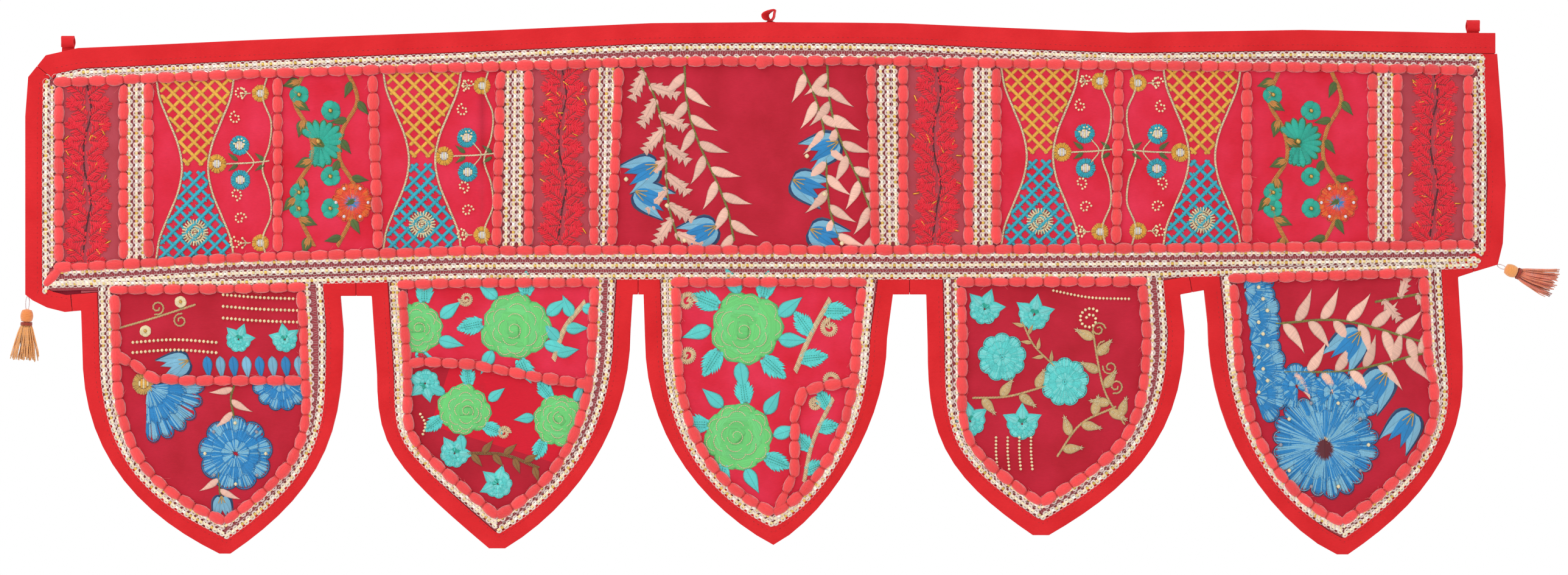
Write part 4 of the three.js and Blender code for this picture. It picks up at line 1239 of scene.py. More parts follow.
class Embroidery:
    """The needlework on one cloth. Each motif's method takes millimetres and the names of dyes."""

    def __init__(self, node, lift=PATCH_FRONT):
        self.node = node
        self.leaves, self.petals, self.stitches = (Needlework(shape, lift) for shape in (leaf, petal, stitch))
        self.gold, self.bugles, self.pearls = (Needlework(shape, lift) for shape in (bead, bar, bead))
        self.laid, self.teeth = Needlework(strip, lift), Needlework(tooth, lift)

    def trim(self, work, ground):
        """A pattern runs off the cut edge, so a repeat whose middle lies beyond the cloth is left out."""
        kept = []
        for row in work.rows:
            x, z = step(row[0], row[1], math.degrees(row[2]), row[3] / 2)
            inward = np.array((self.middle[0] - x, self.middle[1] - z))
            x, z = np.array((x, z)) + inward * min(1, EDGE_ROOM / (np.linalg.norm(inward) + 0.01))
            if ground.ray_cast((x * MM, -1, z * MM), (0, 1, 0))[0] is not None:
                kept.append(row)
        self.trimmed += len(work.rows) - len(kept)
        work.rows = kept

    def sew(self, slot="brocade_patch"):
        cloth = cloths[self.node]
        points = [vert.co[:] for vert in cloth.data.vertices]
        ground = BVHTree.FromPolygons(points, [face.vertices[:] for face in cloth.data.polygons])
        low, high = np.min(points, axis=0) / MM, np.max(points, axis=0) / MM
        self.middle, self.trimmed = ((low + high) / 2)[[0, 2]], 0
        floss = [self.laid, self.stitches, self.teeth, self.leaves, self.petals]
        for kind, works, finish in (("silk", floss, silk), ("brass", [self.gold, self.bugles], bead_gold),
                                    ("pearls", [self.pearls], pearl)):
            for work in works:
                self.trim(work, ground)
            if any(work.rows for work in works):
                sew(f"{kind}_{self.node}", works, finish, slot, on=cloth.name)
        print(self.node, "- left out beyond its edge:", self.trimmed)

    # Lines

    def stem(self, dye, wide, *points):
        """A line of stitches along it, or, where it is wide, of slanted stitches across it."""
        across = wide > 2.2
        for x, z, turn in paced(flowing(points), 1.1 if across else 2.0)[0]:
            self.stitches.centred(x, z, turn + (58 if across else 8), wide * 1.15 if across else 3.2,
                                  1.45 if across else wide, 0.85, uneven_dye(DYES[dye], 0.08), lift=0.05)

    def curl(self, dye, x, z, radius, start=0, turns=1.3, wide=1.4):
        self.stem(dye, wide, *spiral(x, z, radius, start, turns))

    def chain(self, dye, *points, wide=1.9):
        for x, z, turn in paced(flowing(points), wide * 1.05)[0]:
            for hand in (-1, 1):
                self.stitches.centred(x, z, turn + hand * 24, wide * 1.25, wide * 0.62, 0.8,
                                      uneven_dye(DYES[dye], 0.1), lift=0.3)

    def beads(self, size, *points):
        for x, z, turn in paced(flowing(points), size * 1.14)[0]:
            self.pearls.centred(x, z, turn, size, size, size * 0.9,
                                uneven_dye(DYES["cream"], 0.06), lift=-0.1)

    def pearl(self, x, z, size=3.2, dye="cream"):
        self.pearls.centred(x, z, 0, size, size, size * 0.8, DYES[dye], lift=0.5)

    def brass(self, x, z, size=3.4):
        self.gold.centred(x, z, 30, size, size, size * 0.75, DYES["gold"], lift=0.6)

    def bugle(self, x, z, turn):
        self.bugles.centred(x, z, turn, 4.5, 1.15, 1.1, uneven_dye(DYES["yellow"], 0.1))

    # Leaves, each from its base to its tip

    def leaf(self, dye, x, z, tip_x, tip_z, share=0.42, bend=0.0, slant=1):
        long, turn = aim(x, z, tip_x, tip_z)
        self.leaves.put(x, z, turn, long, long * share, 0.85, uneven_dye(DYES[dye], 0.06), bend=bend,
                        lift=0.25, slant=slant)

    def sickle(self, dye, x, z, tip_x, tip_z, hook=0.28, share=0.33):
        """A leaf whose tip turns to its left, or to its right when the hook is below 0."""
        long, turn = aim(x, z, tip_x, tip_z)
        self.leaf(dye, x, z, *step(x, z, turn - math.degrees(math.atan(hook)), long), share=share,
                  bend=hook * long, slant=0)

    def lobed(self, x, z, tip_x, tip_z, share=0.75):
        """A green leaf that turns rust red along three fingers."""
        long, turn = aim(x, z, tip_x, tip_z)
        self.leaf("moss", x, z, tip_x, tip_z, share)
        for way, reach in ((-26, 0.62), (26, 0.62), (0, 0.85)):
            self.leaves.put(x, z, turn + way * share, long * reach, long * share * 0.36, 0.8,
                            uneven_dye(DYES["rust"]), lift=0.45, slant=1)

    def veined(self, dye, x, z, tip_x, tip_z, share=0.5, vein="cream"):
        """An oval satin leaf with a middle rib and side ribs of pale stitches."""
        long, turn = aim(x, z, tip_x, tip_z)
        self.leaf(dye, x, z, tip_x, tip_z, share)
        for i in range(5):
            spot = step(x, z, turn, long * (0.12 + 0.16 * i))
            self.stitches.put(*spot, turn, long * 0.16, 0.7, 0.4, DYES[vein], lift=0.95)
            for hand in (-1, 1):
                self.stitches.put(*spot, turn + hand * 38, long * share * 0.36, 0.5, 0.3, DYES[vein],
                                  lift=0.85)

    def toothed(self, dye, x, z, tip_x, tip_z, share=0.7, vein="teal"):
        """A broad satin leaf with small teeth along both edges and a vein of pale stitches."""
        long, turn = aim(x, z, tip_x, tip_z)
        self.leaves.put(x, z, turn, long, long * share * 0.92, 0.8, uneven_dye(DYES[dye], 0.04), slant=1)
        count = max(5, round(long / 2.1))
        for i in range(count):
            at = (i + 0.6) / (count + 0.4)
            half = 0.9 * share * long * leaf_outline(at)
            for hand in (-1, 1):
                spot = step(*step(x, z, turn, long * at - 1.2), turn + 90 * hand, half * 0.5)
                self.teeth.put(*spot, turn + hand * (50 - 34 * at) + rng.normal(0, 4), 1.8 + half * 0.75, 2.6,
                               0.7, uneven_dye(DYES[dye], 0.05), lift=0.05)
        if long > 11:
            for aside in (-0.13, 0, 0.13):
                near = step(*step(x, z, turn, long * 0.12), turn + 90, long * share * aside)
                far = step(x, z, turn, long * (0.82 - abs(aside)))
                far = step(*far, turn + 90, long * share * aside * 0.8)
                for x1, z1, way in paced([near, far], 1.6)[0]:
                    self.stitches.centred(x1, z1, way, 1.0, 0.5, 0.3, DYES[vein], lift=0.72 - 1.5 * aside**2)

    def zigzag(self, dye, x, z, tip_x, tip_z, wide=7.0, lobes=5):
        """Sharp teeth that step along a line, large near its foot and small at its tip."""
        long, turn = aim(x, z, tip_x, tip_z)
        self.leaf(dye, x, z, tip_x, tip_z, 0.3)
        for i in range(lobes):
            size = wide * (0.55 + 0.45 * math.sin(math.pi * (i + 1.2) / (lobes + 1.6)))
            spot = step(x, z, turn, (i + 0.1) * long / lobes)
            for hand, way in ((-1, 62), (1, 48)):
                self.teeth.put(*step(*spot, turn + hand * way, -1.2), turn + hand * way + rng.normal(0, 5),
                               size, size * 0.62, 0.8, uneven_dye(DYES[dye], 0.03), lift=0.1 + 0.03 * i,
                               slant=1)

    def comb(self, dye, x, z, tip_x, tip_z, wide=9.5):
        """A leaf of separate heavy strokes, with the cloth showing between their ends."""
        long, turn = aim(x, z, tip_x, tip_z)
        count = max(6, round(long / 1.5))
        for i in range(count):
            at = (i + 0.2) / count
            half = wide * 0.58 * math.sin(math.pi * (0.1 + 0.86 * at)) ** 0.7 + 0.8
            for hand in (-1, 1):
                way = turn + hand * (58 - 14 * at) + rng.normal(0, 5)
                self.stitches.put(*step(x, z, turn, long * at), way,
                                  half * rng.uniform(0.85, 1.15), 2.0, 1.2, uneven_dye(DYES[dye], 0.08))

    # Round motifs

    def disc(self, x, z, radius, dye, middle="silver"):
        count = max(10, round(TURN * radius / 1.15))
        inner = radius * 0.42
        for i in range(count):
            turn = 360 * i / count + rng.normal(0, 2)
            self.stitches.put(*step(x, z, turn, inner), turn, radius - inner + rng.uniform(-0.2, 0.3),
                              1.5, 0.8, uneven_dye(DYES[dye], 0.08), lift=0.1)
        for i in range(5):
            aside = (i - 2) * inner * 0.42
            self.laid.centred(x + aside, z, 90, 2.1 * math.sqrt(max(inner**2 - aside**2, 0.3)), inner * 0.6,
                              0.8, DYES[middle if i % 2 else "cream"], lift=0.15 + 0.03 * i)

    def petals_round(self, x, z, radius, count, dyes, share=0.9, first=0.0, spread=360.0, edge=None):
        gap = spread / count
        for i in range(count):
            turn = first + gap * (i + 0.5) - (0 if spread == 360 else spread / 2) + rng.normal(0, 2)
            long = radius * rng.uniform(0.94, 1.05)
            wide = min(1.15 * math.radians(gap) * long, long) * share
            dye = DYES[dyes[i % len(dyes)]]
            if edge:
                self.petals.put(x, z, turn, long + 0.9, wide + 1.7, 0.6, DYES[edge], lift=-0.1)
            self.petals.put(x, z, turn, long, wide, 0.9, uneven_dye(dye, 0.07), lift=0.12)

    def ruffle(self, x, z, radius, first, spread, scallops, dyes=("blue", "sky"), rounds=3, edge=None):
        """Thread painting: rows of long strokes that end on a scalloped rim, each row over the last."""
        for row in range(rounds):
            out = radius * (1 - 0.3 * row)
            count = max(8, round(math.radians(spread) * out / 0.95))
            shares = np.linspace(0, 1, count)
            swell = np.abs(np.sin(math.pi * (shares * scallops + 0.5 * row))) ** 0.55
            turns = first + (shares - 0.5) * spread
            rim = out * (0.84 + 0.16 * swell)
            for turn, far, height in zip(turns, rim, swell):
                start = far * rng.uniform(0.08, 0.4)
                dye = dyes[int(rng.uniform() < 0.15 + 0.6 * height * (row % 2 == 0)) % len(dyes)]
                self.stitches.put(*step(x, z, turn, start), turn + rng.normal(0, 1.2),
                                  (far - start) * rng.uniform(0.98, 1.01), 2.1, 0.7,
                                  uneven_dye(DYES[dye], 0.07), lift=0.22 * row + rng.uniform(0, 0.12))
            angles = np.radians(turns)
            contour = np.stack([x + rim * np.cos(angles), z + rim * np.sin(angles)], axis=-1)
            if row == 0 and edge:
                for px, pz, way in paced(contour, 1.5)[0]:
                    self.stitches.centred(px, pz, way, 2.1, 0.55, 0.5, DYES[edge])
            for px, pz, way in paced(contour * 0.97 + np.array((x, z)) * 0.03, 1.5)[0]:
                self.stitches.centred(px, pz, way, 2.2, 0.8, 0.6, uneven_dye(DYES[dyes[0]], 0.05),
                                      lift=0.15 + 0.2 * row)

    def bloom(self, x, z, radius, turn=90, dyes=("turquoise", "aqua")):
        """A bud that opens: three pointed petals above a scalloped bowl of strokes."""
        for way in (-64, 64, 0):
            for dye, foot, long, wide, high, lift in ((dyes[0], 0.1, 1.12, 0.8, 0.8, 0),
                                                      (dyes[1], 0.2, 0.8, 0.45, 0.7, 0.35)):
                self.leaves.put(*step(x, z, turn + way, radius * foot), turn + way, radius * long,
                                radius * wide, high, uneven_dye(DYES[dye], 0.04), lift=lift, slant=1)
        self.ruffle(x, z, radius * 0.86, turn + 180, 220, 5, dyes)
        self.ruffle(x, z, radius * 0.5, turn, 360, 4, ("teal", dyes[0]), rounds=2)

    def flower(self, x, z, radius, count, *dyes):
        self.petals_round(x, z, radius, count, dyes, share=1.1)
        self.brass(x, z, min(3.4, radius * 0.62))

    def rose(self, x, z, radius, dye="green", inner="mint", line="cream"):
        """Scalloped layers, the smaller over the larger, each scallop rimmed with pale chain stitch."""
        heart = rng.uniform(0, 360)
        for layer, (count, out) in enumerate(((9, 1.0), (6, 0.74), (4, 0.48))):
            aside_x, aside_z = step(x, z, heart, radius * 0.05 * layer)
            for i in range(count):
                turn = 360 * (i + 0.45 * layer) / count + rng.normal(0, 5)
                long = radius * out * rng.uniform(0.92, 1.05)
                half = 180 / count
                self.petals.put(aside_x, aside_z, turn, long, 2.25 * math.tan(math.radians(half)) * long, 0.7,
                                uneven_dye(DYES[inner if layer == 1 else dye], 0.025), lift=0.24 * layer)
                rim = []
                for share in (-0.8, -0.4, 0.0, 0.4, 0.8):
                    rim += step(aside_x, aside_z, turn + share * half, long * (0.9 - 0.2 * share**2))
                self.dots(line, rim, 0.5 + 0.24 * layer)
        bud_x, bud_z = step(x, z, heart, radius * 0.1)
        self.laid.centred(bud_x, bud_z, heart + 40, radius * 0.52, radius * 0.4, 0.8, DYES[dye], lift=0.75)
        self.dots(line, spiral(bud_x, bud_z, radius * 0.25, heart, 1.1), 1.3)

    def dots(self, dye, points, lift):
        """A fine row of pale chain stitches."""
        for px, pz, way in paced(flowing(points, 3), 1.5)[0]:
            self.stitches.centred(px, pz, way, 1.5, 0.75, 0.5, DYES[dye], lift=lift)

    def tulip(self, x, z, tip_x, tip_z, outer="sky", inner="blue", edge="navy"):
        long, turn = aim(x, z, tip_x, tip_z)
        for hand in (-1, 1):
            for dye, grow, lift in ((edge, 1.4, 0.0), (outer, 0.0, 0.14)):
                base = step(x, z, turn, -grow / 2)
                self.leaves.put(*base, turn + hand * 38, long * 0.95 + grow, long * 0.44 + grow, 0.8,
                                DYES[dye], bend=-hand * long * 0.3, lift=lift, slant=1)
            self.leaves.put(x, z, turn + hand * 13, long * 0.86, long * 0.34, 0.9,
                            uneven_dye(DYES[inner], 0.06), bend=-hand * 1.2, lift=0.3, slant=1)
        for way in (-24, 0, 24):
            self.stitches.put(x, z, turn + way, long * 0.34, 1.1, 0.8, DYES["gold"], lift=0.85)

# %% [markdown]
# ## The lattice borders
# Two shaped chains mark off a border, and the ground between them is filled with laid strips: one set slopes
# down, the other crosses over it, and small stitches tie the crossings. The strips are found by walking along
# each slanted line and keeping the stretches that lie between the chains.

# %% Laid strips between two chains
STRIP_PITCH, STRIP_WIDE = 6.8, 2.7


class Border(Embroidery):
    """A border between two chains, given as x, z, x, z and so on from the top down."""

    def __init__(self, node, left, right):
        super().__init__(node)
        self.left, self.right = flowing(left), flowing(right)
        for side in (left, right):
            self.chain("cream", *side, wide=2.1)

    def between(self, x, z, top, bottom):
        left, right = (np.interp(-z, -side[:, 1], side[:, 0]) for side in (self.left, self.right))
        return (z < top) & (z > bottom) & (x > left + 1.0) & (x < right - 1.0)

    def strips(self, dye, top, bottom, rising_on_top=False):
        """Laid strips from one height down to another, in both directions."""
        low, high = min(self.left[:, 0].min(), self.right[:, 0].min()), self.right[:, 0].max()
        walk = np.linspace(0, high - low + top - bottom, 400)
        for rising in (0, 1):
            over = 0.42 if rising == rising_on_top else 0.0
            slope, turn = (1, 45) if rising else (-1, -45)
            reach = high - low + top - bottom
            for start in np.arange(-reach, reach, STRIP_PITCH * math.sqrt(2)):
                x = low + walk * 0.7071
                z = (bottom if rising else top) + start + slope * walk * 0.7071
                runs = np.flatnonzero(np.diff(np.concatenate([[0], self.between(x, z, top, bottom), [0]])))
                for first, last in runs.reshape(-1, 2):
                    long = walk[last - 1] - walk[first]
                    if long < 2.5:
                        continue
                    wide = STRIP_WIDE * rng.uniform(0.92, 1.08)
                    self.laid.put(x[first], z[first], turn, long, wide, 0.7,
                                  uneven_dye(DYES[dye], 0.05), lift=over)
                    if over and rising_on_top:
                        for at in np.arange(3, long - 2, STRIP_PITCH):
                            self.stitches.centred(*step(x[first], z[first], turn, at), turn + 90,
                                                  STRIP_WIDE * 1.7, 0.9, 0.5, uneven_dye(DYES[dye], 0.12),
                                                  lift=over + 0.35)

    def twig(self, x, z, hand=1):
        """A yellow disc on a stalk, which runs to its right or left between two blue-green discs."""
        def beside(*offsets):
            pairs = enumerate(zip((x, z) * 3, offsets))
            return [start + off * (hand, 1)[i % 2] for i, (start, off) in pairs]
        self.disc(x, z, 6.6, "yellow")
        self.disc(*beside(15.6, 12.6), 7, "lagoon")
        self.disc(*beside(16.2, -11), 7, "lagoon")
        self.stem("cream", 1.3, *beside(6.6, 0, 22, 0.6, 36, 2))
        self.stem("cream", 1.0, *beside(20, 9, 25.4, 1, 20, -7))
        for base, tip in ((14.6, 7.5), (33, 26)):
            self.leaf("moss", *beside(base, 2, tip, 7.5), 0.36)
            self.leaf("moss", *beside(base, -0.5, tip, -5), 0.36)

    def medallion(self, x, z, radius):
        for i in range(26):
            self.stitches.put(*step(x, z, 360 * i / 26, radius * 0.7), 360 * i / 26, radius * 0.42, 1.5, 0.9,
                              uneven_dye(DYES["cream"], 0.12), lift=0.5)
        for share in (0.74, 0.52, 0.3, 0.1):
            t = np.linspace(0, TURN, 13)
            self.chain("cream", *np.stack([x + radius * share * np.cos(t), z + radius * share * np.sin(t)],
                                          axis=-1).ravel(), wide=2.2)

    def sprig(self, x, z, turn):
        """A stalk with three knots, worked in pale chain."""
        self.stem("cream", 1.0, x, z, *step(x, z, turn, 5.5))
        for way in (-48, 48):
            fork = step(x, z, turn, 2.4)
            self.stem("cream", 0.9, *fork, *step(*fork, turn + way, 3.6))
            self.pearl(*step(*fork, turn + way, 4.4), 2.0)
        self.pearl(*step(x, z, turn, 6.3), 2.2)

    def bead_curl(self, x, z, radius, start=0, turns=1.15):
        self.beads(1.9, *spiral(x, z, radius, start, turns))

# %% [markdown]
# ## The pennants' patches
# The pennants are cut from old embroideries, so each has its own pattern: blue flowers on the first, green
# roses with toothed leaves on the second and third, turquoise blooms and curls on the fourth, and one big
# flower on the fifth. Two rules carry them: a garland sets leaves along a stem by turns, and a wreath sets
# them round a rose. The pattern runs off the cut edge, where the yarn hides it.

# %% Garlands and wreaths
def garland(work, motif, dye, stalk, wide, points, pitch, long, swing=48, share=0.45):
    """A stem with a leaf at every step, on its right and on its left by turns."""
    work.stem(stalk, wide, *points)
    for i, (x, z, turn) in enumerate(paced(flowing(points), pitch)[0]):
        hand = 1 if i % 2 else -1
        tip = step(x, z, turn + hand * swing, long)
        if motif == "sickle":
            work.sickle(dye, x, z, *tip, 0.28 * hand)
        elif motif == "lobed":
            work.lobed(x, z, *tip, 0.6)
        else:
            getattr(work, motif)(dye, x, z, *tip, share)


def wreath(work, x, z, radius, count, long, first=20):
    """A green rose with toothed and plain leaves round it."""
    for i in range(count):
        turn = first + 360 * i / count
        foot = step(x, z, turn, radius * 0.9)
        motif, share = ((work.leaf, 0.5), (work.toothed, 0.7))[i % 2]
        motif("turquoise", *foot, *step(*foot, turn + 18, long), share)
    work.rose(x, z, radius)


# %% Pennant 1
middle = -370
upper = Embroidery("pennant_1_patch_1")
for i in range(3):
    upper.beads(2.5, middle - 4, -187 - 8 * i, middle + 22, -189 - 8 * i, middle + 50, -190 - 8 * i)
upper.stem("sand", 1.7, middle - 74, -210, middle - 50, -203, middle - 22, -194)
for i in range(2):
    upper.curl("sand", middle - 48 + 16 * i, -196 - 9 * i, 5, 250 - 170 * i)
    upper.flower(middle - 56 + 24 * i, -212 + 20 * i, 4.2, 6, "cream")
    upper.bloom(middle + 8 + 32 * i, -218, 10, 70 + 30 * i)
    upper.beads(2.5, middle - 66, -220 - 7 * i, middle - 36, -218 - 7 * i, middle - 6, -220 - 7 * i)
upper.tulip(middle - 26, -232, middle - 48, -241, "sky", "sky")
for i in range(8):
    upper.leaf(("blue", "sky")[i % 2], middle - 14 + 9 * i, -229, middle - 12 + 9 * i, -246, 0.42)
upper.sew()

lower = Embroidery("pennant_1_patch_2")
stalk = (middle + 6, -247, middle + 3, -258, middle + 5, -271)
garland(lower, "sickle", "pink", "olive", 1.7, stalk, 8, 17, 60)
garland(lower, "sickle", "pink", "olive", 1.5, (middle - 6, -309, middle - 5, -324), 8, 16, 60)
lower.ruffle(middle - 54, -250, 39, -42, 100, 6, edge="navy")
lower.ruffle(middle + 38, -246, 21, -90, 175, 6, edge="navy")
lower.ruffle(middle + 6, -296, 26, 90, 360, 9, edge="navy")
lower.disc(middle - 57, -248, 8, "gold", "yellow")
lower.tulip(middle - 4, -325, middle - 3, -343, "sky", "sky")
for i in range(8):
    lower.pearl(*step(middle + 6, -296, 45 * i, 21), 2.8, ("cream", "grey")[i % 2])
lower.sew()

# %% Pennants 2 and 3
upper = Embroidery("pennant_2_patch_1")
for x, radius in ((-240, 19), (-172, 25)):
    wreath(upper, x, -209, radius, 7, 19)
garland(upper, "leaf", "turquoise", "straw", 4, (-146, -232, -138, -210, -124, -192), 9, 17, 62, 0.52)
upper.curl("straw", -206, -190, 4.6, 180, 1.5, 2.6)
upper.sew()

lower = Embroidery("pennant_2_patch_2")
wreath(lower, -207, -266, 19, 6, 15)
wreath(lower, -142, -274, 19, 6, 15, 50)
garland(lower, "leaf", "bronze", "bronze", 2.4, (-206, -296, -180, -297, -156, -306), 7, 12, 50, 0.42)
for i, (x, z) in enumerate(((-214, -296), (-184, -317), (-234, -248))):
    lower.bloom(x, z, 11.5, 60 + 80 * i)
lower.curl("straw", -180, -282, 4.2, 0, 1.5, 2.6)
lower.beads(2.3, -238, -268, -234, -276, -236, -284)
lower.sew()

whole = Embroidery("pennant_3_patch_1")
wreath(whole, -14, -210, 26, 9, 22)
wreath(whole, -18, -284, 25, 9, 20, 40)
garland(whole, "toothed", "turquoise", "straw", 4, (20, -240, 30, -216, 44, -190), 17, 20, 62, 0.68)
for i in range(4):
    whole.curl("straw", (-54, 44)[i % 2], -192 - 18 * i, 6, 90 * i, 1.25, 4)
whole.sew()

side = Embroidery("pennant_3_patch_2")
garland(side, "toothed", "turquoise", "straw", 3.4, (26, -316, 32, -288, 46, -258), 16, 15, 55, 0.75)
side.curl("straw", 34, -262, 4.2, 90, 1.6, 2.6)
side.sew()

# %% Pennant 4
whole = Embroidery("pennant_4_patch_1")
for points in ((142, -258, 166, -257, 192, -250), (246, -276, 232, -252, 224, -212),
               (200, -298, 216, -276, 240, -264)):
    garland(whole, "veined", "sand", "sand", 1.7, points, 12, 16, 52)
garland(whole, "leaf", "sand", "sand", 1.5, (198, -236, 184, -222, 176, -206), 6, 9, 50, 0.34)
for x, z in ((162, -230), (205, -247)):
    whole.ruffle(x, z, 17, 90, 360, 9, ("turquoise", "aqua"), 4)
for i, (x, z) in enumerate(((150, -197), (184, -201), (176, -276), (140, -274))):
    whole.bloom(x, z, 12.5, 70 + 10 * i)
for i in range(4):
    whole.curl("sand", 240 - 4 * i, -250 + 13 * i, 5, 250 - 80 * i)
    whole.beads(2.2, 158 + 8 * i, -284, 158 + 8 * i, -296, 159 + 8 * i, -308)
whole.beads(2.2, 196, -184, 222, -189, 250, -190)
whole.beads(2.4, *spiral(222, -204, 8, 40, 1.4))
whole.sew()

# %% Pennant 5
whole = Embroidery("pennant_5_patch_1")
garland(whole, "sickle", "pink", "olive", 1.9, (350, -207, 396, -205, 452, -220), 9, 25, 58)
garland(whole, "sickle", "pink", "olive", 1.9, (356, -240, 400, -239, 452, -227), 10, 24, 58)
garland(whole, "zigzag", "pink", "olive", 1.9, (418, -192, 452, -186), 13, 19, 62, 6.5)
for i in range(5):
    whole.ruffle(328 + 2 * i, -184 - 18 * i, 22 + i % 2 * 2, 5, 150, 4, edge="navy")
for i, x in enumerate((364, 388, 406)):
    whole.ruffle(x, -250 - 4 * i, 16, 120 - 40 * i, 300, 6, edge="navy")
for reach, wide, first in ((38, 38, 0), (25, 40, 18)):
    for i in range(10):
        dyes = (("blue", "sky"), ("sky", "blue"))[i % 2]
        whole.ruffle(383, -290, reach - 2 * (i % 2), first + 36 * i, wide, 2, dyes, 2, "navy")
whole.leaf("wine", 383, -304, 383, -277, 0.72)
for i in range(3):
    whole.disc(383, -294 + 4 * i, 4.5, "gold", "yellow")
    whole.tulip(408 + 18 * i, -212 - 28 * i, 388 + 20 * i, -238 - 28 * i)
for i in range(10):
    whole.pearl(*step(383, -290, 36 * i, 30), 3, ("cream", "grey")[i % 2])
    whole.pearl(338 + 3 * (i % 3), -182 - 8 * i)
whole.sew()

# %% [markdown]
# ## The band's patches
# Sheer net sprays stand next to every braid strip, lattice borders flank the flower panels, and the wide
# centre has long stems with blue tulips. The four lattice borders are one rule: an hourglass of laid strips,
# a twig from its waist, and a scroll with discs on the open side.

# %% Lattice borders
LATTICES = (("patch_lattice_1", -392, -337, 1), ("patch_lattice_2", -236, -185, 1),
            ("patch_lattice_3", 188, 239, 1), ("patch_lattice_4", 299, 245, -1))


def lattice_border(node, axis, far, hand):
    top, bottom = row_height("top", axis) + 1, row_height("bottom", axis) - 1
    shares = np.linspace(0, 1, 9)
    heights = top + (bottom - top) * shares
    halves = 27 - 18 * np.sin(math.pi * shares) ** 2
    border = Border(node, *(np.stack([axis + way * halves, heights], axis=-1).ravel() for way in (-1, 1)))
    middle = (top + bottom) / 2
    border.strips("yellow", top, middle + 2)
    border.strips("lagoon", middle - 2, bottom, 1)
    border.medallion(axis, bottom + 20, 8.4)
    border.twig(axis + 15 * hand, middle + 3, hand)
    scroll = np.stack([far - hand * (5 + 3.5 * np.sin(5 * math.pi * shares)), heights], axis=-1)
    border.chain("cream", *scroll.ravel())
    for i, share in enumerate((0.1, 0.23, 0.36, 0.64, 0.77, 0.9)):
        z = top + (bottom - top) * share
        border.bead_curl(axis + hand * (31 - 3 * (i % 2)), z, 4.4, 90 * i)
        if i in (0, 5):
            border.disc(far - 10 * hand, z, 6, "yellow")
            border.sprig(far - 17 * hand, z, 90 + 90 * hand)
    border.sew("lattice_patch")


for row in LATTICES:
    lattice_border(*row)

# %% Flower panels
PANELS = (("patch_flower_1", -302, 33), ("patch_flower_2", 370, 40))

for node, middle, half in PANELS:
    panel = Embroidery(node)
    for hand in (-1, 1):
        vine = [(middle + hand * (half * 0.45 + 7 * math.sin(1.8 * i)), -34 - 20 * i) for i in range(7)]
        garland(panel, "lobed" if hand < 0 else "leaf", "moss", "rust", 3.1, np.ravel(vine), 15, 13)
    panel.ruffle(middle + half * 0.55, -124, 14.5, 0, 360, 14, ("scarlet", "orange"), 2)
    panel.ruffle(middle + half * 0.55, -124, 8.5, 0, 360, 8, ("blue", "sky"), 2)
    panel.petals_round(middle - 4, -83, 17, 13, ("teal",), 0.72, 20, 265, "moss")
    for i in range(3):
        panel.toothed("teal", middle - 4, -85, *step(middle - 4, -85, -118 + 26 * i, 15), 0.55, "teal")
    panel.brass(middle - 5, -82, 4.6)
    for i in range(6):
        panel.flower(middle + half * (-0.55, 0.1)[i % 2], (-50, -106)[i > 1] - 11 * (i % 3), 7, 5, "teal")
        panel.pearl(*step(middle + half * 0.55, -124, 60 * i, 11), 2.6, "silver")
    panel.sew()

# %% Centre panel
panel = Embroidery("patch_centre")
for x, sway in ((-86, 1), (-56, -1), (24, 1), (42, -1)):
    stalk = np.ravel([(x + sway * 5 * math.sin(0.9 * i) + 5 * i, -30 - 20 * i) for i in range(7)])
    motif = "zigzag" if x == -86 else "sickle"
    garland(panel, motif, "pink", "olive", 1.8, stalk, 10, 22, 48, 7.5)
for i, (x, z) in enumerate(((-74, -98), (-90, -116), (-34, -140), (18, -108), (50, -82), (30, -142))):
    hand = -1 if i % 2 == 0 else 1
    panel.tulip(x, z, x + 26 * hand, z - 12)
    panel.pearl(x + 22 * hand, z - 10, 3.6)
panel.sew()

# %% Sheer sprays
SPRAYS = (("patch_sheer_1", -466, -43, -160), ("patch_sheer_2", -140, -32, -150),
          ("patch_sheer_3", 117, -30, -150), ("patch_sheer_4", 458, -32, -150))
LEAF_PAIR_PITCH = 13.8

for node, middle, top, foot in SPRAYS:
    spray = Embroidery(node)
    stalk = [(middle + 3 * math.sin(1.9 * i), top + (foot - top) * i / 6) for i in range(7)]
    spray.stem("wine", 1.3, *np.ravel(stalk))
    for i, z in enumerate(np.arange(top - 8, foot - 3, -LEAF_PAIR_PITCH)):
        x = middle + 1.3 * math.sin(1.3 * i)
        for hand in (-1, 1):
            spray.comb("crimson", x + 1.3 * hand, z, x + 13.8 * hand, z + 10)
            spray.comb("crimson", x + 0.8 * hand, z - 2.5, x + 12.2 * hand, z - 4.2)
    for _ in range(19):
        spray.bugle(middle + rng.uniform(-17, 17), rng.uniform(foot, top), rng.uniform(-70, 80))
    spray.sew("sheer_patch")

# %% [markdown]
# ## The cloths' cut sizes
# For each cloth the loop below works out the size of its cut, but nothing is done with it. The ground, the
# patches and the braid are cut flat to the shape that shows, and the hanging lies flat but for soft folds,
# so half of a cloth's closed surface is its cut. A binding is a straight tape folded over the edge, so its
# cut is a long strip.

# %% Cut sizes
LEAST_CUT = 0.010


def cut_area(piece):
    """Half of a closed thin cloth's surface, in square metres."""
    return sum(face.area for face in piece.data.polygons) / 2


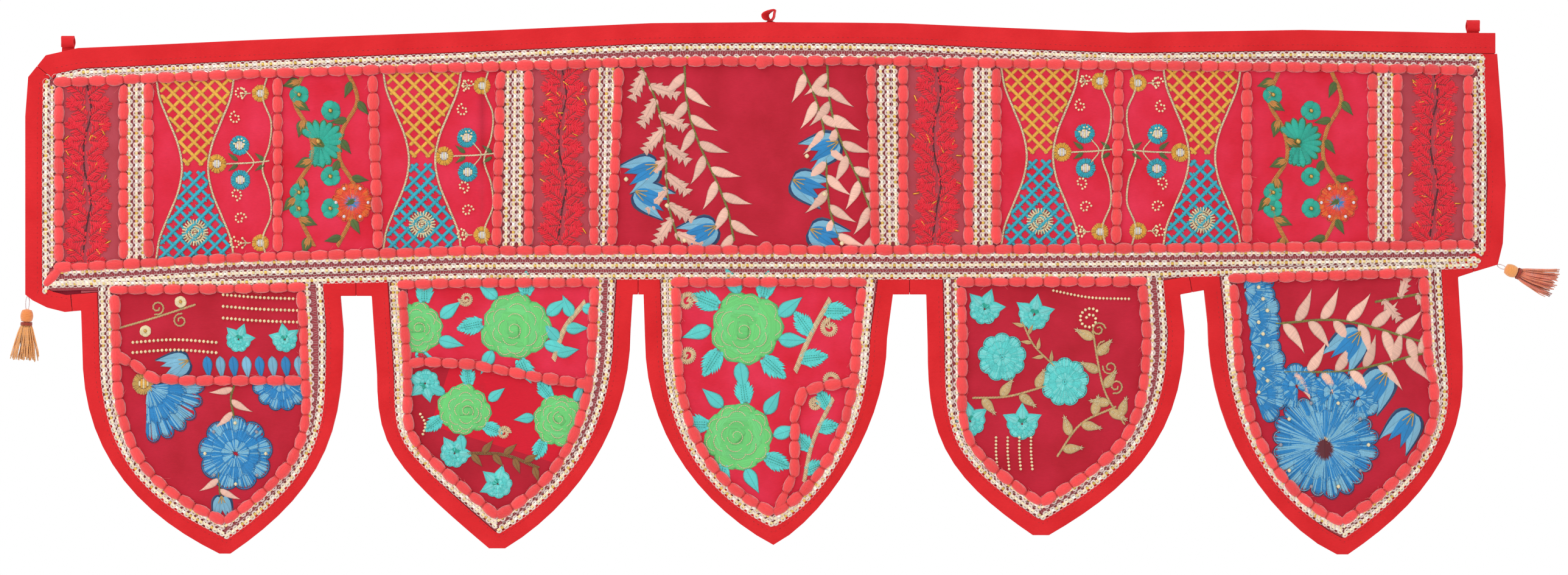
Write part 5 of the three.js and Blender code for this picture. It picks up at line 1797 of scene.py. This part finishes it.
for node, piece in cloths.items():
    sewn = sewn_on.get(piece.name, [])
    area = cut_area(piece)
    if node.startswith("tassel"):
        continue
    if node.startswith("loop"):
        tape = next(row[4] for row in LOOPS if row[0] == node) * MM
        area / tape
        min(tape, LEAST_CUT) * area / tape
        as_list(sewn)
    elif node.startswith("binding"):
        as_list(sewn)
    else:
        points = np.array([vert.co[:] for vert in piece.data.vertices])
        wide, _, tall = np.ptp(points, axis=0)
        if area < 0.3 * wide * tall:
            tall = area / (0.9 * wide)
        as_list(sewn)
print("sheets declared:", sum(not node.startswith("tassel") for node in cloths))

# %% [markdown]
# ## Floor, light and camera
# The cloth is shown as on a white table: soft light from all round, and one broad lamp from the upper left
# that draws out the relief. The camera stands straight in front, as far off as a long lens asks.

# %% Floor and light
def area_lamp(name, place, target, size, power):
    data = bpy.data.lights.new(name, "AREA")
    data.shape = "RECTANGLE"
    data.size, data.size_y = size
    data.energy = power
    lamp = bpy.data.objects.new(name, data)
    lamp.location = place
    lamp.rotation_euler = (Vector(target) - Vector(place)).to_track_quat("-Z", "Y").to_euler()
    bpy.context.scene.collection.objects.link(lamp)


FLOOR_HEIGHT = -0.62
FLOOR_HALF = 2.4
floor_mesh = bmesh.new()
bmesh.ops.create_grid(floor_mesh, x_segments=2, y_segments=2, size=FLOOR_HALF)
bmesh.ops.translate(floor_mesh, vec=(0, 0, FLOOR_HEIGHT), verts=floor_mesh.verts)
floor_data = bpy.data.meshes.new("floor")
floor_mesh.to_mesh(floor_data)
floor_mesh.free()
floor = bpy.data.objects.new("floor", floor_data)
bpy.context.scene.collection.objects.link(floor)
pale = Finish("pale floor", Roughness=0.7)
pale_noise = pale.noise(pale.millimetres(), 0.01)
floor_data.materials.append(pale.end(pale.mix(pale_noise, colour(244, 243, 241), colour(250, 250, 249))))

world = bpy.data.worlds.new("white room")
bpy.context.scene.world = world
world.use_nodes = True
world.node_tree.nodes["Background"].inputs["Color"].default_value = (1, 1, 1, 1)
world.node_tree.nodes["Background"].inputs["Strength"].default_value = 1.0
area_lamp("upper left lamp", (-1.1, -1.1, 1.3), (0, 0, -0.15), (1.2, 0.8), 12)
bpy.context.scene.view_settings.view_transform = "Standard"

# %% Camera
PHOTO_WIDTH_MM = 1076.6
LENS, SENSOR = 85, 36
CAMERA_X, CAMERA_Z = 0.0123, -0.1822
camera_data = bpy.data.cameras.new("camera")
camera_data.lens, camera_data.sensor_width = LENS, SENSOR
camera = bpy.data.objects.new("camera", camera_data)
camera.location = (CAMERA_X, -PHOTO_WIDTH_MM * MM * LENS / SENSOR, CAMERA_Z)
camera.rotation_euler = (math.radians(90), 0, 0)
bpy.context.scene.collection.objects.link(camera)
bpy.context.scene.camera = camera
